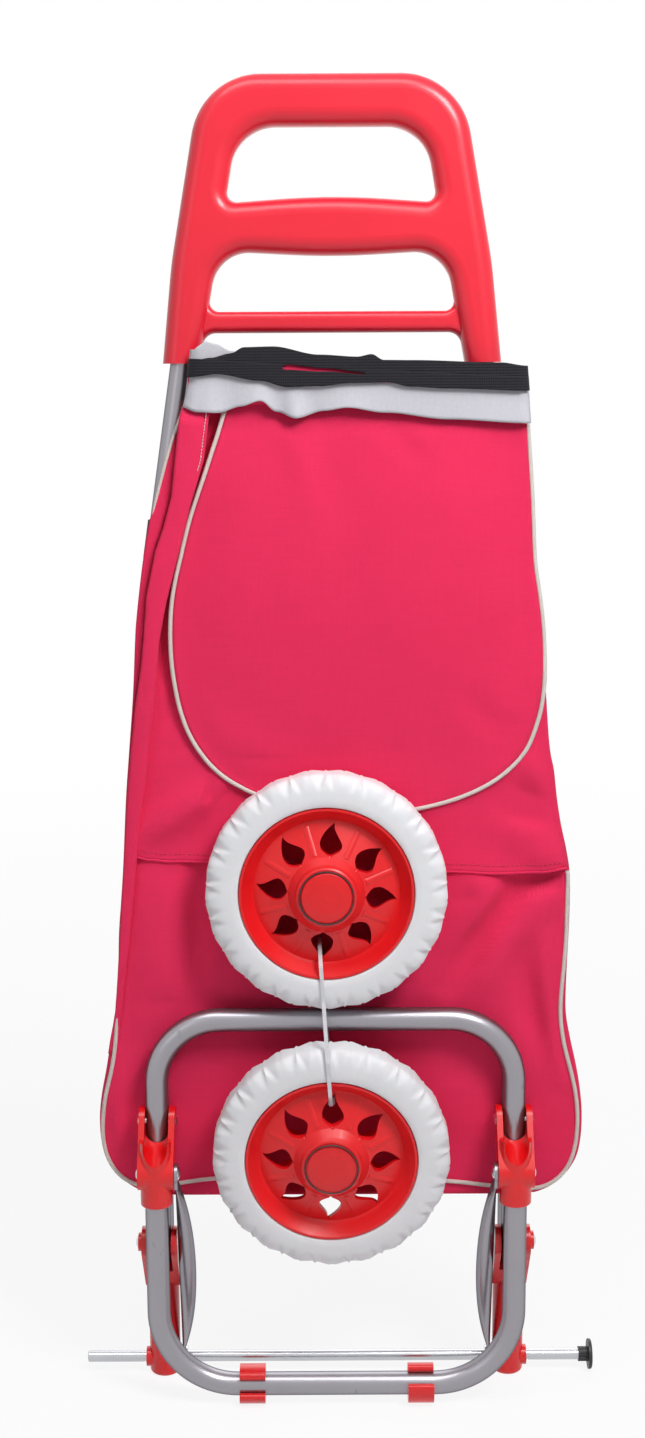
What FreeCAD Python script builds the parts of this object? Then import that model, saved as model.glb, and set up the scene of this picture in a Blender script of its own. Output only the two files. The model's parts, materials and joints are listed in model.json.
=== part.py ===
"""Folding shopping trolley, packed flat: frame folded, bag hung flat, wheels tied on in front.

Millimetres.  X is across the trolley, -Y is its front, +Z is up.  Z = 0 is the floor that the
folded trolley stands on.  The main tubes stand in the plane Y = 0 while the pieces are made;
at the end everything is moved so that the origin is at the middle of the base.
"""
import FreeCAD, Part
import math
import os

# ---------------------------------------------------------------- driving dimensions
TUBE_R = 8.0                 # every frame tube is 16 mm across
TUBE_WALL = 1.0
FRAME_HALF = 124.0           # half the distance between the main tubes, axis to axis
FIT_GAP = 0.1                # fixed tube in its plastic socket
RUN_GAP = 0.05               # rivet or axle in a hole that turns on it
SIDE_GAP = 0.3               # each side of a tube between two clevis cheeks

# rear frame
AXLE_Z = 11.0
AXLE_R = 4.0
AXLE_OUT = {"left": 56.0, "right": 61.0}     # axle beyond each main tube's axis, cap included
AXLE_CHAMFER = 0.8
WHEEL_SEAT_LENGTH = 40.0     # bare axle between its chamfer and the groove beside the bracket
AXLE_GROOVE_WIDE = 1.2
AXLE_GROOVE_DEEP = 0.4
CAP_FLANGE_R = 10.6
CAP_FLANGE_THICK = 2.5
CAP_STEM_R = 5.2
CAP_STEM_LENGTH = 7.0
CAP_FLUTES = 10
CAP_FLUTE_R = 0.7
MAIN_TUBE_FOOT_Z = 22.0
MAIN_BEND_Z = 556.0
MAIN_BEND_R = 140.0
LEG_FOOT_IN = 24.8           # how far each tube leans in by the handle's lower ends
CROSS_TUBE_R = 6.0
CROSS_TUBE_HEIGHTS = (195.0, 513.0)

# folding linkage, seen from the side: pivot heights and the planes of the tubes
BAG_TO_PLATFORM = 2.4        # bag's front to the platform tube
PLATFORM_TO_FEET = 3.5       # between the platform tube and the feet tube
PLATFORM_PIVOT_Z = 111.0     # platform tube on the wheel bracket
CONNECTOR_PIVOT_Z = 201.0    # connector on the platform tube
RIVET_BELOW_PIVOT = 31.0     # strut and feet tube on the connector, below that pivot
BAR_ABOVE_PIVOT = 73.0       # platform's bar above that pivot
PLATFORM_BEND_R = 45.0
FEET_BEND_R = 55.0
FOLD_ANGLE = 90.0            # how far the platform comes down
TUBE_END_LAP = 9.0           # tube beyond the pivot hole at its end
FEET_TOP_LAP = 6.0           # feet tube above the rivet that holds it in the connector

# plastic clevises
SLEEVE_WALL = 3.0
CHEEK_THICK = 4.1
BRACKET_EASE = 3.0           # rounding of the bracket's foot
BRACKET_SLEEVE_TOP = 89.0
CONNECTOR_SLEEVE_DOWN = 22.0  # below the connector's rivet
CONNECTOR_SLEEVE_UP = 24.0    # above it
CONNECTOR_EASE = 1.2
AXLE_BOSS_R = 7.0
AXLE_BOSS_OUT = 2.4
PIVOT_BOSS_R = 6.4           # round boss on the outer cheek of the bracket
PIVOT_BOSS_OUT = 2.6
SOCKET_FLOOR = 3.0

# rivets, rings and screws
PUSH_RING_R = 7.0
PUSH_RING_THICK = 1.2
RIVET_R = 2.5
RIVET_HEAD_R = 4.6
RIVET_HEAD_HIGH = 1.7
SCREW_HEAD_R = 3.6
SCREW_HEAD_HIGH = 1.8
SCREW_R = 1.7
BRACKET_SCREW_Z = 59.0
HANDLE_SCREW_UP = 14.0       # above the handle's lower ends

# struts: steel tube flattened at both ends
STRUT_R = 6.0
STRUT_FLAT = 2.2
STRUT_EYE_R = 7.0
STRUT_EYE_EASE = 0.6         # neck narrower than the eye, each side
STRUT_EYE_CLEAR = 1.5        # flat beyond the eye, before the tube swells
STRUT_CLEAR = 0.3            # between the strut and the clevises' inner faces

# foot clips on the feet bar
CLIP_WALL = 5.4
CLIP_WIDTH = 18.0
CLIP_FROM_BEND = 1.0
CLIP_MOUTH = 84.0
CLIP_TURNS = {"left": 12.0, "right": 52.0}

# handle, its heights measured down from its top
HANDLE_TOP_Z = 904.0
HANDLE_DEPTH = 28.0
HANDLE_ROUND = 11.0
HANDLE_HIGH = 184.0          # top to the lower ends of the legs
HANDLE_SHOULDER_DOWN = 120.0
HANDLE_TOP_IN = 40.0         # each side at the top, inwards from the tube's foot
HANDLE_CORNER_R = 46.0
LEG_OUTER = 12.8             # outer face of a leg from its tube's axis
LEG_INNER = 14.0             # inner face of a leg from its tube's axis
LEG_INNER_LOW = 11.4         # the same, below the ladder bar
TUBE_TOP_DOWN = 119.0        # top of the main tube inside its leg
GRIP_BAR_HIGH = 33.0         # top bar, which is the grip
GRIP_WINDOW_HIGH = 48.0
GRIP_WINDOW_TOP_IN = 23.5    # sides of the grip window at its top, from the handle's own
GRIP_WINDOW_LOW_IN = 15.0
GRIP_WINDOW_R = 29.0
GRIP_WINDOW_LOW_R = 6.0
LOWER_BAR_HIGH = 30.5        # second bar, at its thinnest
LOWER_BAR_SAG = 5.0          # how far its middle bulges up and down, as wide arcs
BULGE_R = 500.0
SECOND_WINDOW_R = 24.0       # its upper corners
SECOND_WINDOW_LOW_R = 6.0
OPEN_WINDOW_R = 9.0
LADDER_BAR_HIGH = 14.0
LADDER_BAR_DOWN = 157.4
LADDER_BAR_ROUND = 5.0

# wheels, tied face-on to the folded platform
WHEEL_R = 82.0
TYRE_WIDTH = 27.0
TYRE_DEEP = 23.0             # tyre from the rim to the tread
TYRE_CROWN = 7.0             # rounding of each shoulder
TYRE_SHOULDER = 2.2
TYRE_SEAT_GAP = 0.2
RIM_WALL = 2.6
RIM_LIP_DOWN = 0.6           # rim's lip behind the tyre's face
WEB_FROM_BACK = 13.5
WEB_THICK = 3.4
RIM_SLOPE_WIDE = 9.4         # sloping band between the lip and the dished web
RIM_LIP_THICK = 1.6
RIM_BACK_SET = 1.0           # rim's back edge in from the tyre's
WEB_EDGE = 1.4               # small step where the slope meets the web
HUB_R = 20.0
HUB_CORE_WALL = 4.5
HUB_CAP_R = 17.8
HUB_LENGTH = 35.0
HUB_CAP_FRONT = 37.5
HUB_CAP_SEAT = 6.0
HUB_CAP_EDGE = 1.2
HUB_FLARE = 6.0              # how far beyond the hub the web starts to rise to it
HUB_NECK = (1.8, 3.0)        # outwards and back from the hub's front edge
HUB_EASE = (0.4, 0.8)
RIB_FROM_BACK = 3.0
WEB_DISH = 10.0              # how far the web comes forward towards the hub
FLAP_TO_WHEEL = 2.4
WHEEL_GAP = {"upper": 4.5, "lower": 2.5}     # between each tyre and the platform's bar
WHEEL_ASIDE = {"upper": -5.5, "lower": -3.0}  # as they happen to be tied
WHEEL_TURN = {"upper": 5.0, "lower": 1.5}
WHEEL_TILT = {"upper": 0.0, "lower": 5.5}    # top of the wheel forwards
WHEEL_FORWARD = {"upper": 0.0, "lower": 4.6}
PETALS = 8
PETAL_FROM_HUB = 6.5
PETAL_FROM_EDGE = 1.6
PETAL_HALF = 7.3
PETAL_BELLY = 0.40           # where the petal is widest, along its length
PETAL_SHOULDER = 0.75        # where it narrows to its tip, and how far on each side
PETAL_NARROW = {"left": 0.50, "right": 0.36}
PETAL_CURL = 1.8             # how far its tip leans to one side
CREASE_REACH = 6.0           # crease in the web from the petal's foot towards the hub
CREASE_R = 1.3
RIDGE_R = 5.0                # low round ridges on the web between the petals
RIDGE_HIGH = 0.5
RIB_THICK = 2.0
TREAD_NOTCHES = 24
TREAD_DEPTH = 2.4
TREAD_SLANT = 28.0

# cable tie
TIE_WIDTH = 2.6
TIE_THICK = 1.2
TIE_BEND_R = 3.0
TIE_HEAD = 5.0
TIE_EASE = 12.0              # where it leaves the tyre's face for the petal
TIE_BAR_EASE = 4.0           # and where it turns behind the platform's bar
TIE_SLANT = 3.8

# bag, hanging flat between the main tubes and the folded platform
BAG_TO_TUBES = 0.4
BAG_THICK = 6.2
PANEL_THICK = 1.0
FLAP_THICK = 1.6
LAYER_GAP = 0.2
PIPING_R = 1.4
PIPING_BELOW_HEM = 8.0
BAG_BOTTOM_Z = 141.0
BAG_TOP_DOWN = 37.0          # bag's top below the handle's lower ends
BAG_CORNER_R = 46.0
BAG_SIDE_R = 60.0
HEM_Z = 378.0
PANEL_INSET = 4.0
MOUTH_OUT = {"left": -4.8, "right": 23.2}    # sides of the bag from the main tubes' axes
NECK_OUT = {"left": 5.0, "right": 19.0}
SHOULDER_OUT = {"left": 15.0, "right": 27.0}
WAIST_OUT = {"left": 27.0, "right": 40.0}
BOTTOM_OUT = {"left": 46.0, "right": 47.0}
BAG_NECK_Z = 590.0
BAG_SHOULDER_Z = 455.0
BAG_WAIST_Z = (335.0, 259.0)
BAG_BULGE_Z = 201.0
FLAP_LENGTH = 262.0
FLAP_WIDEST = 0.54           # height of the flap's widest part, as a share of its length
FLAP_MOUTH_IN = {"left": 31.0, "right": 2.0}  # flap's sides at the mouth, from the bag's
FLAP_WIDE_IN = {"left": 26.0, "right": 5.0}
FLAP_CORNER_IN = {"left": 60.0, "right": 42.0}
FLAP_CORNER_R = 78.0
LINING_HIGH = 19.0
BAND_HIGH = 26.0
BAND_THICK = 3.2
STRAP_HEIGHTS = (223.0, 603.0)
STRAP_WIDTH = 25.0
STRAP_THICK = 1.3

SIDES = {"left": -1.0, "right": 1.0}
GROUPED = ("axle_push_ring", "handle_screw", "bracket_screw")
X_AXIS = FreeCAD.Vector(1, 0, 0)
Y_AXIS = FreeCAD.Vector(0, 1, 0)
Z_AXIS = FreeCAD.Vector(0, 0, 1)

# ---------------------------------------------------------------- worked out from them
SLEEVE_R = TUBE_R + SLEEVE_WALL
CHEEK_R = SLEEVE_R
AXLE_BARE_X = -FRAME_HALF - AXLE_OUT["left"]
AXLE_CAPPED_X = FRAME_HALF + AXLE_OUT["right"]
LEG_FOOT_Z = HANDLE_TOP_Z - HANDLE_HIGH
MAIN_TUBE_TOP_Z = HANDLE_TOP_Z - TUBE_TOP_DOWN
HANDLE_SCREW_Z = LEG_FOOT_Z + HANDLE_SCREW_UP
CHEEK_GAP_HALF = TUBE_R + SIDE_GAP
CLEVIS_HALF = CHEEK_GAP_HALF + CHEEK_THICK
STRUT_PLANE = CLEVIS_HALF + STRUT_CLEAR      # outer face of the strut, inwards from the tube axis
BAG_BACK_Y = -TUBE_R - BAG_TO_TUBES
BAG_FRONT_Y = BAG_BACK_Y - BAG_THICK
PLATFORM_Y = BAG_FRONT_Y - BAG_TO_PLATFORM - TUBE_R
FEET_Y = PLATFORM_Y - PLATFORM_TO_FEET - 2 * TUBE_R
CONNECTOR_RIVET_Z = CONNECTOR_PIVOT_Z - RIVET_BELOW_PIVOT
PLATFORM_BAR_Z = CONNECTOR_PIVOT_Z + BAR_ABOVE_PIVOT
CONNECTOR_SLEEVE_LOW = CONNECTOR_RIVET_Z - CONNECTOR_SLEEVE_DOWN
CONNECTOR_SLEEVE_TOP = CONNECTOR_RIVET_Z + CONNECTOR_SLEEVE_UP
LEAN = math.atan2(LEG_FOOT_IN, LEG_FOOT_Z - MAIN_BEND_Z)
HANDLE_TOP_HALF = FRAME_HALF - HANDLE_TOP_IN
SECOND_WINDOW_TOP_Z = HANDLE_TOP_Z - GRIP_BAR_HIGH - GRIP_WINDOW_HIGH - LOWER_BAR_HIGH
LADDER_BAR_Z = HANDLE_TOP_Z - LADDER_BAR_DOWN
CLIP_R = TUBE_R + FIT_GAP + CLIP_WALL
CLIP_OFFSET = FRAME_HALF - FEET_BEND_R - CLIP_WIDTH / 2 - CLIP_FROM_BEND
FEET_BAR_Z = CLIP_R
RIM_R = WHEEL_R - TYRE_DEEP
DISC_R = RIM_R - RIM_SLOPE_WIDE
PETAL_INNER = HUB_R + PETAL_FROM_HUB
PETAL_OUTER = DISC_R - PETAL_FROM_EDGE
WHEEL_Z = {"lower": PLATFORM_BAR_Z - TUBE_R - WHEEL_GAP["lower"] - WHEEL_R,
           "upper": PLATFORM_BAR_Z + TUBE_R + WHEEL_GAP["upper"] + WHEEL_R}
BAG_TOP_Z = LEG_FOOT_Z - BAG_TOP_DOWN
PANEL_FRONT_Y = BAG_FRONT_Y - LAYER_GAP - PANEL_THICK
FLAP_BACK_Y = PANEL_FRONT_Y - LAYER_GAP
FLAP_FRONT_Y = FLAP_BACK_Y - FLAP_THICK
WHEEL_BACK_Y = FLAP_FRONT_Y - FLAP_TO_WHEEL


def vec(x, y, z):
    """A point or direction."""
    return FreeCAD.Vector(x, y, z)


def rod(radius, length, start, direction):
    """A plain cylinder."""
    return Part.makeCylinder(radius, length, start, direction)


def box_between(low, high):
    """A box from its lowest to its highest corner."""
    return Part.makeBox(high.x - low.x, high.y - low.y, high.z - low.z, low)


def rounded_edges(points, radii, closed=False):
    """Straight runs joined by tangent arcs; radii[i] rounds points[i], 0 leaves it sharp."""
    count = len(points)
    inner = range(count) if closed else range(1, count - 1)
    entry = {}
    exit_ = {}
    arcs = {}
    for i in inner:
        if radii[i] <= 0:
            continue
        here = points[i]
        back = (points[i - 1] - here).normalize()
        ahead = (points[(i + 1) % count] - here).normalize()
        half = back.getAngle(ahead) / 2.0
        reach = radii[i] / math.tan(half)
        middle = (back + ahead).normalize()
        centre = here + middle * (radii[i] / math.sin(half))
        entry[i] = here + back * reach
        exit_[i] = here + ahead * reach
        arcs[i] = Part.Arc(entry[i], centre - middle * radii[i], exit_[i])
    edges = []
    last = count if closed else count - 1
    for i in range(last):
        following = (i + 1) % count
        start = exit_.get(i, points[i])
        end = entry.get(following, points[following])
        if (end - start).Length > 1e-6:
            edges.append(Part.LineSegment(start, end).toShape())
        if following in arcs:
            edges.append(arcs[following].toShape())
    return edges


def outline_xz(points, radii, y=0.0):
    """A closed rounded outline in an upright plane, from (x, z) pairs."""
    return Part.Wire(rounded_edges([vec(x, y, z) for x, z in points], radii, closed=True))


def slab(wire, depth):
    """A flat outline in the plane of its own Y, thickened towards +Y."""
    return Part.Face(wire).extrude(vec(0, depth, 0))


def sweep_round(edges, radius):
    """A round bar along a path of runs and arcs."""
    path = Part.Wire(edges)
    start = path.Edges[0].valueAt(path.Edges[0].FirstParameter)
    heading = path.Edges[0].tangentAt(path.Edges[0].FirstParameter)
    section = Part.Wire(Part.makeCircle(radius, start, heading))
    return path.makePipeShell([section], True, True)


def bent_tube(points, radii):
    """A frame tube, open at both ends."""
    edges = rounded_edges(points, radii)
    return sweep_round(edges, TUBE_R).cut(sweep_round(edges, TUBE_R - TUBE_WALL))


def cross_hole(x_middle, y, z, radius, reach):
    """A hole across a tube, along X."""
    return rod(radius, 2 * reach, vec(x_middle - reach, y, z), X_AXIS)


def tapered_link(first, first_r, second, second_r, x_low, x_high):
    """A plate across X whose side outline is two circles joined by their outer tangents."""
    width = vec(x_high - x_low, 0, 0)
    span = second - first
    turn = math.acos((first_r - second_r) / span.Length)
    base = math.atan2(span.z, span.y)
    corners = []
    for side in (1.0, -1.0):
        angle = base + side * turn
        outward = vec(0, math.cos(angle), math.sin(angle))
        corners.append((first + outward * first_r, second + outward * second_r))
    ring = [corners[0][0], corners[0][1], corners[1][1], corners[1][0], corners[0][0]]
    web = Part.Face(Part.makePolygon(ring)).extrude(width)
    web.translate(vec(x_low, 0, 0))
    ends = [rod(first_r, width.x, first + vec(x_low, 0, 0), X_AXIS),
            rod(second_r, width.x, second + vec(x_low, 0, 0), X_AXIS)]
    return web.fuse(ends).removeSplitter()


def rivet(x_low, x_high, y, z, heads=(True, True)):
    """A shank across X with a domed head on the face at each end that has one."""
    tip = vec(0, 0, 1)
    start = vec(x_low, 0, 0)
    end = vec(x_high, 0, 0)
    edges = []
    if heads[0]:
        crown = start - X_AXIS * RIVET_HEAD_HIGH
        edges += dome_edges(crown, start, -1.0)
    else:
        crown = start
        edges.append(Part.makeLine(start, start + tip * RIVET_R))
    edges.append(Part.makeLine(start + tip * RIVET_R, end + tip * RIVET_R))
    if heads[1]:
        far = end + X_AXIS * RIVET_HEAD_HIGH
        edges += dome_edges(far, end, 1.0)
    else:
        far = end
        edges.append(Part.makeLine(end + tip * RIVET_R, end))
    edges.append(Part.makeLine(far, crown))
    face = Part.Face(Part.Wire(Part.__sortEdges__(edges)))
    shape = face.revolve(vec(0, 0, 0), X_AXIS, 360)
    shape.translate(vec(0, y, z))
    return shape


def dome_edges(crown, seat, outward):
    """Half section of a domed head between its crown and the face it sits on."""
    rim = seat + vec(0, 0, RIVET_HEAD_R)
    middle = seat + vec(outward * RIVET_HEAD_HIGH * 0.78, 0, RIVET_HEAD_R * 0.62)
    return [Part.Arc(crown, middle, rim).toShape(),
            Part.makeLine(rim, seat + vec(0, 0, RIVET_R))]


def mirrored(shape):
    """The left-hand copy of a right-hand piece."""
    return shape.mirror(vec(0, 0, 0), X_AXIS)


# ---------------------------------------------------------------- linkage geometry
def linkage():
    """Angles of the open frame, from its lengths: how far the feet and the struts swing."""
    rise = PLATFORM_PIVOT_Z - AXLE_Z
    crank = CONNECTOR_PIVOT_Z - PLATFORM_PIVOT_Z
    link_forward = PLATFORM_Y - FEET_Y
    link_down = CONNECTOR_PIVOT_Z - CONNECTOR_RIVET_Z
    link = math.hypot(link_forward, link_down)
    strut = math.hypot(FEET_Y, CONNECTOR_RIVET_Z - AXLE_Z)
    fold = math.radians(FOLD_ANGLE)
    pivot_forward = -PLATFORM_Y + crank * math.sin(fold)
    pivot_up = rise + crank * math.cos(fold)
    reach = math.hypot(pivot_forward, pivot_up)
    corner = math.acos((reach ** 2 + link ** 2 - strut ** 2) / (2 * reach * link))
    open_link = math.atan2(pivot_up, pivot_forward) + math.pi + corner - 2 * math.pi
    folded_link = -math.atan2(link_down, link_forward)
    feet_swing = open_link - folded_link
    tip_forward = pivot_forward + link * math.cos(open_link)
    tip_up = pivot_up + link * math.sin(open_link)
    folded_strut = math.atan2(-FEET_Y, CONNECTOR_RIVET_Z - AXLE_Z)
    strut_swing = math.atan2(tip_forward, tip_up) - folded_strut
    return {"feet_swing": feet_swing, "strut_swing": strut_swing, "strut_length": strut}


# ---------------------------------------------------------------- rear frame
def edges_at_height(shape, z):
    """The edges of a shape that lie flat at a height."""
    return [edge for edge in shape.Edges
            if abs(edge.BoundBox.ZMin - z) < 0.01 and abs(edge.BoundBox.ZMax - z) < 0.01]


def main_tube_points():
    """Axis of the right main tube: upright, then leaning in to the handle."""
    top_half = FRAME_HALF - math.tan(LEAN) * (MAIN_TUBE_TOP_Z - MAIN_BEND_Z)
    return [vec(FRAME_HALF, 0, MAIN_TUBE_FOOT_Z), vec(FRAME_HALF, 0, MAIN_BEND_Z),
            vec(top_half, 0, MAIN_TUBE_TOP_Z)]


def tube_half_at(z):
    """Distance of the main tube's axis from the middle plane at a height."""
    if z <= MAIN_BEND_Z:
        return FRAME_HALF
    return FRAME_HALF - math.tan(LEAN) * (z - MAIN_BEND_Z)


def main_tube():
    """The right main tube with its screw holes."""
    tube = bent_tube(main_tube_points(), [0, MAIN_BEND_R, 0])
    for z in (BRACKET_SCREW_Z, HANDLE_SCREW_Z):
        hole = rod(SCREW_R + FIT_GAP, TUBE_R + 1, vec(tube_half_at(z), 0, z), Y_AXIS)
        tube = tube.cut(hole)
    return tube


def cross_tube(z):
    """A brace between the main tubes, its ends coped to them."""
    bar = rod(CROSS_TUBE_R, 2 * FRAME_HALF, vec(-FRAME_HALF, 0, z), X_AXIS)
    bar = bar.cut(rod(CROSS_TUBE_R - TUBE_WALL, 2 * FRAME_HALF, vec(-FRAME_HALF, 0, z), X_AXIS))
    for side in SIDES.values():
        foot = vec(side * FRAME_HALF, 0, z - 3 * CROSS_TUBE_R)
        bar = bar.cut(rod(TUBE_R + FIT_GAP, 6 * CROSS_TUBE_R, foot, Z_AXIS))
    return bar


def wheel_bracket():
    """Clevis, tube socket and axle boss in one moulding, on the foot of the right main tube."""
    x = FRAME_HALF
    sleeve = rod(SLEEVE_R, BRACKET_SLEEVE_TOP, vec(x, 0, 0), Z_AXIS)
    sleeve = sleeve.makeFillet(BRACKET_EASE, edges_at_height(sleeve, 0.0))
    pivot = vec(0, PLATFORM_Y, PLATFORM_PIVOT_Z)
    root = vec(0, 0, BRACKET_SLEEVE_TOP - CHEEK_R)
    cheeks = tapered_link(pivot, CHEEK_R, root, CHEEK_R, x - CLEVIS_HALF, x + CLEVIS_HALF)
    body = sleeve.fuse(cheeks)
    gap_low = BRACKET_SLEEVE_TOP - SOCKET_FLOOR
    slot_low = vec(x - CHEEK_GAP_HALF, -2 * SLEEVE_R + PLATFORM_Y, gap_low)
    slot = box_between(slot_low, vec(x + CHEEK_GAP_HALF, 2 * SLEEVE_R, 2 * PLATFORM_PIVOT_Z))
    nose_clear = tapered_link(pivot, TUBE_END_LAP + 2 * SIDE_GAP, pivot + vec(0, 0, 3 * TUBE_R),
                              TUBE_END_LAP, x - CHEEK_GAP_HALF, x + CHEEK_GAP_HALF)
    body = body.cut(slot).cut(nose_clear)
    body = body.fuse(rod(PIVOT_BOSS_R, CLEVIS_HALF - CHEEK_GAP_HALF + PIVOT_BOSS_OUT,
                         vec(x + CHEEK_GAP_HALF, PLATFORM_Y, PLATFORM_PIVOT_Z), X_AXIS))
    for outward, face in ((1.0, SLEEVE_R + AXLE_BOSS_OUT), (-1.0, STRUT_PLANE - FIT_GAP)):
        boss = rod(AXLE_BOSS_R, face, vec(x, 0, AXLE_Z), vec(outward, 0, 0))
        body = body.fuse(boss)
    body = body.cut(rod(TUBE_R + FIT_GAP, BRACKET_SLEEVE_TOP, vec(x, 0, MAIN_TUBE_FOOT_Z), Z_AXIS))
    body = body.cut(cross_hole(x, 0, AXLE_Z, AXLE_R + RUN_GAP, 2 * SLEEVE_R))
    body = body.cut(cross_hole(x, PLATFORM_Y, PLATFORM_PIVOT_Z, RIVET_R + RUN_GAP, 2 * SLEEVE_R))
    body = body.cut(rod(SCREW_R + FIT_GAP, 2 * SLEEVE_R, vec(x, 0, BRACKET_SCREW_Z), Y_AXIS))
    return body.removeSplitter()


def pan_screw(x, z, face_y):
    """A pan-head screw driven forwards from the back, its head on the face at face_y."""
    head = rod(SCREW_HEAD_R, SCREW_HEAD_HIGH, vec(x, face_y, z), Y_AXIS)
    reach = face_y - TUBE_R + 2 * TUBE_WALL
    return head.fuse(rod(SCREW_R, reach, vec(x, face_y - reach, z), Y_AXIS)).removeSplitter()


def axle():
    """The wheel axle: a rod grooved inside each wheel's seat and chamfered at its bare end."""
    length = AXLE_CAPPED_X - CAP_FLANGE_THICK - AXLE_BARE_X
    bar = rod(AXLE_R, length, vec(AXLE_BARE_X, 0, AXLE_Z), X_AXIS)
    end = [edge for edge in bar.Edges if abs(edge.CenterOfMass.x - AXLE_BARE_X) < 0.01]
    bar = bar.makeChamfer(AXLE_CHAMFER, end)
    start = vec(AXLE_BARE_X + AXLE_CHAMFER + WHEEL_SEAT_LENGTH, 0, AXLE_Z)
    groove = rod(2 * AXLE_R, AXLE_GROOVE_WIDE, start, X_AXIS)
    groove = groove.cut(rod(AXLE_R - AXLE_GROOVE_DEEP, AXLE_GROOVE_WIDE, start, X_AXIS))
    return bar.cut([groove, mirrored(groove)])


def axle_cap():
    """Push-on cap: a fluted stem over the axle and a wider flange at its end."""
    flange_x = AXLE_CAPPED_X - CAP_FLANGE_THICK
    start = vec(flange_x - CAP_STEM_LENGTH, 0, AXLE_Z)
    stem = rod(CAP_STEM_R, CAP_STEM_LENGTH, start, X_AXIS)
    flutes = []
    for index in range(CAP_FLUTES):
        angle = 2 * math.pi * index / CAP_FLUTES
        edge = vec(0, CAP_STEM_R * math.cos(angle), CAP_STEM_R * math.sin(angle))
        flutes.append(rod(CAP_FLUTE_R, CAP_STEM_LENGTH, start + edge, X_AXIS))
    flange = rod(CAP_FLANGE_R, CAP_FLANGE_THICK, vec(flange_x, 0, AXLE_Z), X_AXIS)
    rim = [edge for edge in flange.Edges if abs(edge.CenterOfMass.x - AXLE_CAPPED_X) < 0.01]
    cap = stem.cut(flutes).fuse(flange.makeFillet(CAP_FLANGE_THICK / 2, rim))
    return cap.cut(rod(AXLE_R + FIT_GAP / 2, CAP_STEM_LENGTH, start, X_AXIS))


def axle_push_ring():
    """Spring ring that keeps the right strut against its bracket."""
    x = FRAME_HALF - STRUT_PLANE - STRUT_FLAT - FIT_GAP - PUSH_RING_THICK
    start = vec(x, 0, AXLE_Z)
    ring = rod(PUSH_RING_R, PUSH_RING_THICK, start, X_AXIS)
    return ring.cut(rod(AXLE_R + FIT_GAP / 2, PUSH_RING_THICK, start, X_AXIS))


# ---------------------------------------------------------------- handle
def handle():
    """Ladder handle: a rounded bow with a grip window, a wide bar and a thin bar below it."""
    bow, grip_window, open_window = handle_outlines()
    face = Part.Face(bow).cut(Part.Face(grip_window)).cut(Part.Face(open_window))
    body = face.Faces[0].extrude(vec(0, HANDLE_DEPTH, 0))
    body.translate(vec(0, -HANDLE_DEPTH / 2, 0))
    flat = HANDLE_DEPTH / 2 - 0.01
    long_edges = [edge for edge in body.Edges
                  if abs(edge.CenterOfMass.y) > flat and edge.CenterOfMass.z > LEG_FOOT_Z + 1]
    body = body.makeFillet(HANDLE_ROUND, long_edges).fuse(ladder_bar())
    below = 20.0
    for side in SIDES.values():
        start = vec(side * tube_half_at(LEG_FOOT_Z - below), 0, LEG_FOOT_Z - below)
        lean = vec(-side * math.sin(LEAN), 0, math.cos(LEAN))
        depth = (MAIN_TUBE_TOP_Z - LEG_FOOT_Z + below) / math.cos(LEAN) + 1
        body = body.cut(rod(TUBE_R + FIT_GAP, depth, start, lean))
        screw = vec(side * tube_half_at(HANDLE_SCREW_Z), 0, HANDLE_SCREW_Z)
        body = body.cut(rod(SCREW_R + FIT_GAP, HANDLE_DEPTH, screw, Y_AXIS))
    return body.removeSplitter()


def leg_inner_at(z):
    """Distance of a leg's inner face from the middle plane: the legs narrow downwards."""
    share = (z - LEG_FOOT_Z) / (SECOND_WINDOW_TOP_Z - LEG_FOOT_Z)
    return tube_half_at(z) - LEG_INNER_LOW - share * (LEG_INNER - LEG_INNER_LOW)


def ladder_bar():
    """The thin bar between the legs, its edges rounded and its ends flaring into the legs."""
    deep = LADDER_BAR_HIGH / 2
    low = LADDER_BAR_Z - LADDER_BAR_HIGH / 2
    high = LADDER_BAR_Z + LADDER_BAR_HIGH / 2
    reach = 3 * OPEN_WINDOW_R
    above = mirrored_outline([(leg_inner_at(high), high, SECOND_WINDOW_LOW_R),
                              (leg_inner_at(high + reach), high + reach, 0)])
    below = mirrored_outline([(leg_inner_at(low - reach), low - reach, 0),
                              (leg_inner_at(low), low, OPEN_WINDOW_R)])
    half = leg_inner_at(LADDER_BAR_Z) + 2 * LADDER_BAR_ROUND
    margin = OPEN_WINDOW_R + 1.0
    plate = mirrored_outline([(half, low - margin, 0), (half, high + margin, 0)])
    face = Part.Face(plate).cut(Part.Face(above)).cut(Part.Face(below))
    bar = face.Faces[0].extrude(vec(0, 2 * deep, 0))
    bar.translate(vec(0, -deep, 0))
    long_edges = [edge for edge in bar.Edges
                  if abs(abs(edge.CenterOfMass.y) - deep) < 0.01
                  and low - margin + 0.1 < edge.CenterOfMass.z < high + margin - 0.1
                  and abs(edge.CenterOfMass.x) < half - 0.1]
    return bar.makeFillet(LADDER_BAR_ROUND, long_edges)


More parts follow.
